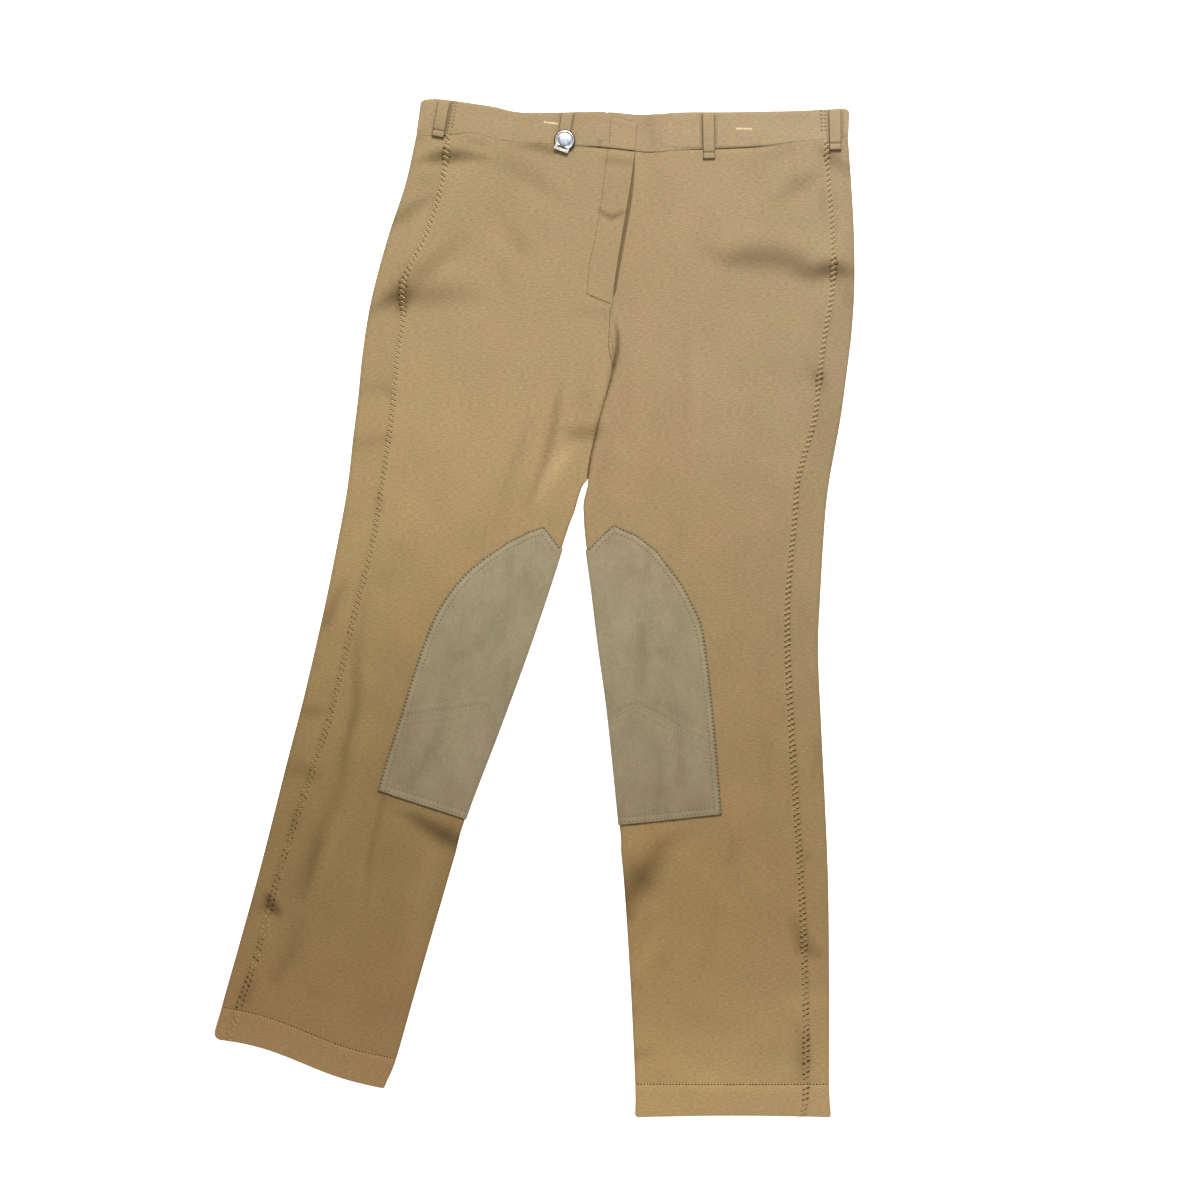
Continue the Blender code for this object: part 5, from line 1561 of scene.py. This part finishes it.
def stitch_tree():
    """Geometry nodes that lay arched threads a pitch apart along each path of a mesh."""
    tree = bpy.data.node_groups.new("stitch_row", "GeometryNodeTree")
    sockets = [("Paths", GEOMETRY)]
    sockets += [(label, FLOAT) for label in ("Pitch", "Length", "Thread", "Rise", "Flat", "Slant")]
    sockets += [("Strands", INTEGER), ("Seed", INTEGER), ("Finish", MATERIAL)]
    for label, kind in sockets:
        tree.interface.new_socket(label, in_out="INPUT", socket_type=kind)
    tree.interface.new_socket("Stitches", in_out="OUTPUT", socket_type=GEOMETRY)
    given = tree.nodes.new("NodeGroupInput").outputs
    result = tree.nodes.new("NodeGroupOutput")

    def of(kind, inputs=None, **settings):
        """What a new node gives."""
        return add(tree, kind, inputs, **settings).outputs[0]

    # One thread: an arch that sinks into the cloth at both ends, thinner there, and flattened.
    half = sums(tree, "DIVIDE", sums(tree, "DIVIDE", given["Length"], given["Strands"]), 2.0)
    sunk = sums(tree, "MULTIPLY", given["Thread"], -0.8)
    arch = of("GeometryNodeCurveQuadraticBezier", {
        "Resolution": 6, "Start": vector(tree, sums(tree, "MULTIPLY", half, -1.0), z=sunk),
        "Middle": vector(tree, z=sums(tree, "MULTIPLY", given["Rise"], 2.0)),
        "End": vector(tree, half, z=sunk)})
    place_on = of("GeometryNodeSplineParameter")
    swell = sums(tree, "SINE", sums(tree, "MULTIPLY", place_on, math.pi))
    taper = of("GeometryNodeSetCurveRadius", {
        "Curve": arch, "Radius": sums(tree, "MULTIPLY_ADD", swell, 0.6, 0.4)})
    ring = of("GeometryNodeCurvePrimitiveCircle", {"Resolution": 6, "Radius": given["Thread"]})
    sweep = add(tree, "GeometryNodeCurveToMesh", {
        "Curve": taper, "Profile Curve": ring, "Fill Caps": True})
    if "Scale" in sweep.inputs:
        tree.links.new(of("GeometryNodeInputRadius"), sweep.inputs["Scale"])
    pressed = of("GeometryNodeTransform", {
        "Geometry": sweep.outputs["Mesh"], "Scale": vector(tree, 1.0, 1.0, given["Flat"])})
    # Threads laid end to end, where a stitch has more than one strand.
    step = sums(tree, "MULTIPLY", half, 2.0)
    first = sums(tree, "MULTIPLY", sums(tree, "SUBTRACT", given["Length"], step), -0.5)
    strands = of("GeometryNodeMeshLine", {
        "Count": given["Strands"], "Start Location": vector(tree, first), "Offset": vector(tree, step)})
    bars = of("GeometryNodeInstanceOnPoints", {"Points": strands, "Instance": pressed})
    bar = of("GeometryNodeRealizeInstances", {"Geometry": bars})
    # The row: stitches a pitch apart, stood on the cloth, slanted, and never quite alike.
    points = add(tree, "GeometryNodeResampleCurve", {
        "Curve": of("GeometryNodeMeshToCurve", {"Mesh": given["Paths"]})})
    if hasattr(points, "mode"):
        points.mode = "LENGTH"
    tree.links.new(given["Pitch"], points.inputs["Length"])
    up = of("GeometryNodeInputNamedAttribute", {"Name": "up"}, data_type="FLOAT_VECTOR")
    size = of("GeometryNodeInputNamedAttribute", {"Name": "size"}, data_type="FLOAT")
    stood = of("FunctionNodeAlignRotationToVector", {"Vector": up}, axis="Z")
    headed = of("FunctionNodeAlignRotationToVector", {
        "Rotation": stood, "Vector": of("GeometryNodeInputTangent")}, axis="X", pivot_axis="Z")
    jitter = add(tree, "FunctionNodeRandomValue", {
        "Min": -0.12, "Max": 0.12, "Seed": given["Seed"]}, data_type="FLOAT").outputs["Value"]
    slant = sums(tree, "ADD", given["Slant"], jitter)
    turn = of("FunctionNodeAxisAngleToRotation", {"Axis": (0.0, 0.0, 1.0), "Angle": slant})
    slanted = of("FunctionNodeRotateRotation", {
        "Rotation": headed, "Rotate By": turn}, rotation_space="LOCAL")
    uneven = add(tree, "FunctionNodeRandomValue", {
        "Min": 0.86, "Max": 1.12, "Seed": sums(tree, "ADD", given["Seed"], 7.0)},
        data_type="FLOAT").outputs["Value"]
    row = of("GeometryNodeInstanceOnPoints", {
        "Points": points.outputs["Curve"], "Instance": bar, "Rotation": slanted,
        "Scale": sums(tree, "MULTIPLY", uneven, size)})
    smooth = of("GeometryNodeSetShadeSmooth", {
        "Geometry": of("GeometryNodeRealizeInstances", {"Geometry": row})})
    finished = of("GeometryNodeSetMaterial", {"Geometry": smooth, "Material": given["Finish"]})
    tree.links.new(finished, result.inputs["Stitches"])
    return tree


STITCHES = stitch_tree()


def surface_of(*pieces):
    """What a ray meets of these pieces."""
    points, faces = [], []
    for piece in pieces:
        start = len(points)
        points += [v.co.copy() for v in piece.data.vertices]
        faces += [[start + k for k in polygon.vertices] for polygon in piece.data.polygons]
    return BVHTree.FromPolygons(points, faces)


def laid_path(surface, places, from_below=False, size=1.0):
    """A path's points on a surface, each with its up and size, from plan places in mm."""
    path = []
    sign = -1.0 if from_below else 1.0
    for (x, y), scale in zip(places, np.broadcast_to(size, len(places))):
        start = Vector((x * MM, y * MM, 0.05 * sign))
        spot, normal, *_ = surface.ray_cast(start, Vector((0, 0, -sign)))
        if spot is not None:
            up = Vector((normal.x * 0.5, normal.y * 0.5, sign)).normalized()
            path.append((spot, up, scale))
    return path


def stitch_rows(name, paths, finish, pitch, length, thread, rise, flat, slant=0.0, seed=3, strands=1):
    """A plain mesh of stitches along the paths: sizes in mm, and the slant in degrees."""
    points, ups, scales = ([p[k] for path in paths for p in path] for k in range(3))
    edges, start = [], 0
    for path in paths:
        edges += [(k, k + 1) for k in range(start, start + len(path) - 1)]
        start += len(path)
    mesh = bpy.data.meshes.new(name + "_paths")
    mesh.from_pydata(points, edges, [])
    ups, scales = np.array(ups).ravel(), np.array(scales, dtype=float)
    mesh.attributes.new("up", "FLOAT_VECTOR", "POINT").data.foreach_set("vector", ups)
    mesh.attributes.new("size", "FLOAT", "POINT").data.foreach_set("value", scales)
    carrier = bpy.data.objects.new(name + "_paths", mesh)
    scene.collection.objects.link(carrier)
    modifier = carrier.modifiers.new("stitches", "NODES")
    modifier.node_group = STITCHES
    values = {"Pitch": pitch * MM, "Length": length * MM, "Thread": thread * MM, "Rise": rise * MM,
              "Flat": flat, "Slant": math.radians(slant), "Strands": strands, "Seed": seed,
              "Finish": finish}
    for item in STITCHES.interface.items_tree:
        if item.item_type == "SOCKET" and item.in_out == "INPUT" and item.name in values:
            modifier[item.identifier] = values[item.name]
    graph = bpy.context.evaluated_depsgraph_get()
    made = bpy.data.meshes.new_from_object(carrier.evaluated_get(graph), depsgraph=graph)
    made.name = name
    carrier.modifiers.clear()
    bpy.data.objects.remove(carrier, do_unlink=True)
    piece = bpy.data.objects.new(name, made)
    scene.collection.objects.link(piece)
    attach(piece, "root")
    return piece


def offset_path(path, distance):
    """Plan points of a path moved sideways, to its left where the distance is over 0."""
    path = np.array(path)
    run = np.gradient(path, axis=0)
    run /= np.maximum(np.linalg.norm(run, axis=1, keepdims=True), 1e-9)
    return path + distance * np.stack([-run[:, 1], run[:, 0]], -1)


def resampled(path, step=1.2):
    """Plan points a step apart on a path."""
    path = np.array(path, dtype=float)
    run = np.concatenate([[0.0], np.cumsum(np.linalg.norm(np.diff(path, axis=0), axis=1))])
    wanted = np.arange(0.0, run[-1], step)
    return np.stack([np.interp(wanted, run, path[:, k]) for k in (0, 1)], -1)


def thread_material(name, low, high, swing):
    """Spun thread, duller towards the hem: fine twist lines and small changes of tone."""
    made, tree, shader, place = blank_material(name)
    axes = add(tree, "ShaderNodeSeparateXYZ", {"Vector": place}).outputs
    colour = blended(tree, mapped(tree, axes["Y"], -0.2, 0.2), low, high)
    change = noise(tree, place, 260.0, 2.0)
    twist = add(tree, "ShaderNodeTexWave", {"Vector": place, "Scale": 900.0, "Distortion": 1.5},
                bands_direction="DIAGONAL").outputs["Fac"]
    fill(tree, shader, {
        "Base Color": scaled_colour(tree, colour, spread_about(tree, change, swing)),
        "Roughness": mapped(tree, change, least=0.6, most=0.85),
        "Normal": bumped(tree, twist, 0.5, 0.0001), "Specular IOR Level": 0.05})
    return made


beige_thread = thread_material("thread_beige", (0.275, 0.187, 0.088), (0.390, 0.285, 0.156), 0.08)
brown_thread = thread_material("thread_brown", (0.068, 0.042, 0.014), (0.112, 0.073, 0.028), 0.15)
moss_thread = thread_material("thread_moss", (0.074, 0.053, 0.025), (0.086, 0.062, 0.029), 0.15)
cream_thread = thread_material("thread_cream", (0.560, 0.440, 0.270), (0.600, 0.480, 0.300), 0.06)

# The twin-needle ladder: bars across the seam allowance, and brown threads between them that stand in for
# the shade in the gaps, larger where shade is painted in the leg's creases. Both are larger towards the
# hem, where it is worn.
legs_surface = surface_of(front_right, front_left, back_right, back_left)
band_surface = surface_of(band_back, band_right, band_left)
LADDER_PITCH, LADDER_SLANT = 5.0, 62.0
LADDER_STEP = 1.25
WORN_BELOW, WORN_RAMP = 90.0, 160.0
HIP_Y = 200.0           # above this the shade in the gaps grows most with the crease shade
CREASE_SHADE_ABOVE = 1.9
BAR_SIZE, BAR_LEAST, BAR_MOST = 0.82, 0.72, 1.1
GAP_SHADE_SIZE, GAP_SHADE_LEAST, GAP_SHADE_MOST = 0.50, 0.45, 1.15
GAP_SHADE_BELOW = 0.12
for leg, wear, crease_shade_below, slant in ((RIGHT, 0.14, 0.8, LADDER_SLANT), (LEFT, 0.20, 0.5, -LADDER_SLANT)):
    runs = np.arange(1.0, float(leg.run_to(HEM)) - 1.0, LADDER_STEP)
    fine = Across(leg, leg.stations_at(runs))
    x, y = fine.at(fine.seam_in + sum(LADDER_ROWS) / 2.0)
    # the crease shade painted on the cloth here, which makes the gaps' shade larger and the bars smaller
    crease_shade = settled_at(SETTLED, x, y)[1] * np.where(y < HIP_Y, crease_shade_below, CREASE_SHADE_ABOVE)
    worn = wear * ease((WORN_BELOW - y) / WORN_RAMP)
    ladder = list(zip(x, y))
    bar_sizes = np.clip(BAR_SIZE - 0.3 * crease_shade + worn, BAR_LEAST, BAR_MOST)
    gap_shade_sizes = np.clip(GAP_SHADE_SIZE + crease_shade + worn + GAP_SHADE_BELOW * (y < HIP_Y), GAP_SHADE_LEAST, GAP_SHADE_MOST)
    bars = laid_path(legs_surface, ladder, size=bar_sizes)
    gap_shade = laid_path(legs_surface, ladder[2:], size=gap_shade_sizes[2:])
    stitch_rows(f"ladder_{leg.name}", [bars], beige_thread, pitch=LADDER_PITCH, length=7.0,
                thread=1.0, rise=0.52, flat=0.5, strands=2, slant=slant)
    # brown threads as painted shade in the gaps between the bars
    stitch_rows(f"ladder_gaps_{leg.name}", [gap_shade], brown_thread, pitch=LADDER_PITCH, length=8.6,
                thread=0.98, rise=0.74, flat=0.5, strands=2, slant=slant, seed=5)

# Two rows round each patch, and one on each side of the bent seam.
OUTER_ROW, INNER_ROW = 0.9, 6.2
BOTTOM_ROWS = (2.4, 7.4)
BEND_ROWS = (-2.4, 2.4)
TIP_PLACES = 52         # of each side's outer row, sewn with longer dashes from the tip
for leg, inward in ((RIGHT, 1.0), (LEFT, -1.0)):
    suede_surface = surface_of(*[patch for patch in patches if patch.name.endswith(leg.name)])

    def patch_row(path, distance, first, last=None):
        """A row so far in from a path, without its first and last places."""
        return laid_path(suede_surface, offset_path(resampled(path), distance)[first:last])

    slant_path, side_path, bottom_path = leg.patch_sides
    outer = [patch_row(path, inward * OUTER_ROW, 1) for path in (slant_path, side_path)]
    inner = [patch_row(path, inward * INNER_ROW, 4, -4) for path in (slant_path, side_path)]
    inner += [patch_row(bottom_path, inward * row, first) for row, first in zip(BOTTOM_ROWS, (2, 6))]
    bend = [patch_row(leg.patch_seam, row, 6, -4) for row in BEND_ROWS]
    stitch_rows(f"patch_edge_{leg.name}", [outer[1][TIP_PLACES:]], moss_thread, pitch=3.6,
                length=2.9, thread=0.50, rise=0.16, flat=0.7, slant=80.0, seed=11)
    stitch_rows(f"patch_tip_{leg.name}", [row[:TIP_PLACES] for row in outer], moss_thread, pitch=3.6,
                length=3.1, thread=0.46, rise=0.16, flat=0.7, seed=14)
    stitch_rows(f"patch_inner_{leg.name}", inner, moss_thread, pitch=3.7, length=1.7,
                thread=0.36, rise=0.10, flat=0.7, slant=75.0, seed=12)
    stitch_rows(f"patch_bend_{leg.name}", bend, moss_thread, pitch=3.4, length=2.0,
                thread=0.22, rise=0.06, flat=0.7, seed=13)

# The hems, stitched once all round.
HEM_PLACES = 160
for leg in (RIGHT, LEFT):
    hem_line = Across(leg, np.full(HEM_PLACES, HEM_STITCH - 0.004))
    x, y = hem_line.at(np.linspace(3.0, float(hem_line.flat_end[0]) - 1.0, HEM_PLACES))
    rows = [laid_path(legs_surface, list(zip(x, y)), from_below) for from_below in (False, True)]
    stitch_rows(f"hem_{leg.name}", rows, brown_thread, pitch=3.0, length=2.5,
                thread=0.60, rise=0.28, flat=0.8, slant=-18.0, seed=21)

# The fly's hooked line, sewn heavier along its foot, and the lines on the tab.
TAB_LINES = (((70.6, 442.0), (72.0, 464.6)), ((74.0, 464.8), (84.0, 463.8), (92.0, 461.2)))
FLY_FOOT = ((49.2, 297.6), (56.0, 294.8), (71.4, 288.6))
fly_rows = [laid_path(legs_surface, resampled(FLY_STITCH)),
            laid_path(legs_surface, resampled(FLY_FOOT), size=1.5)]
fly_rows += [laid_path(band_surface, resampled(path)) for path in TAB_LINES]
stitch_rows("fly_stitching", fly_rows, brown_thread, pitch=2.7, length=2.3,
            thread=0.31, rise=0.14, flat=0.8, seed=31)

# The turned edges that meet in the middle, seen end to end as a dark line down to the fork: brown
# thread laid along it as painted shade in the gap between them, and in the notch above.
FORK_LINE = ((76.8, 246.0), (76.0, 238.0), (74.6, 230.0), (72.8, 220.5), (67.0, 199.7),
             (60.6, 176.5), (56.0, 158.0), (52.8, 144.0), (50.4, 127.0), (50.2, 124.0))
FORK_SIZES = table("run size", (0.0, 0.5), (14.0, 1.9), (26.0, 1.0), (60.0, 1.2), (122.0, 1.5))
NOTCH_LINE = ((71.4, 284.0), (70.2, 262.0), (70.0, 246.0), (72.4, 236.0), (74.2, 230.0))
fork_places = resampled(FORK_LINE)
fork_runs = np.arange(len(fork_places)) * 1.2
fork_rows = [laid_path(legs_surface, fork_places, size=np.interp(fork_runs, *FORK_SIZES.values())),
             laid_path(legs_surface, resampled(NOTCH_LINE), size=0.8)]
stitch_rows("fork_seam_shadow", fork_rows, brown_thread, pitch=2.4, length=2.7,
            thread=0.62, rise=0.26, flat=0.5, seed=33)

# Short rows of dashes at the band's two ends.
END_LINES = (((-83.2, 449.5), (-77.6, 479.5)), ((-79.9, 449.5), (-74.3, 479.5)),
             ((272.0, 453.0), (271.2, 472.0)), ((275.6, 453.0), (274.8, 472.0)))
end_rows = [laid_path(band_surface, resampled(path)) for path in END_LINES]
stitch_rows("band_end_rows", end_rows, brown_thread, pitch=3.3, length=3.2,
            thread=0.40, rise=0.20, flat=0.6, slant=62.0, seed=32)

# Cream bar tacks on the band: threads packed side by side, with two loose ends at the left.
TACKS = (((8.8, 460.5), (22.1, 458.7)), ((191.2, 454.2), (205.6, 453.9)))
LOOSE_ENDS = (((190.8, 458.6), (193.0, 458.9)), ((203.6, 459.0), (205.6, 459.4)))
tack_rows = [laid_path(band_surface, resampled(path, 0.6)) for path in TACKS]
stitch_rows("bar_tacks", tack_rows, cream_thread, pitch=0.75, length=2.7,
            thread=0.42, rise=0.30, flat=0.9, slant=90.0, seed=41)
loose_ends = [laid_path(band_surface, resampled(path, 0.5)) for path in LOOSE_ENDS]
stitch_rows("tack_ends", loose_ends, beige_thread, pitch=2.4, length=2.0,
            thread=0.32, rise=0.30, flat=0.9, seed=42)
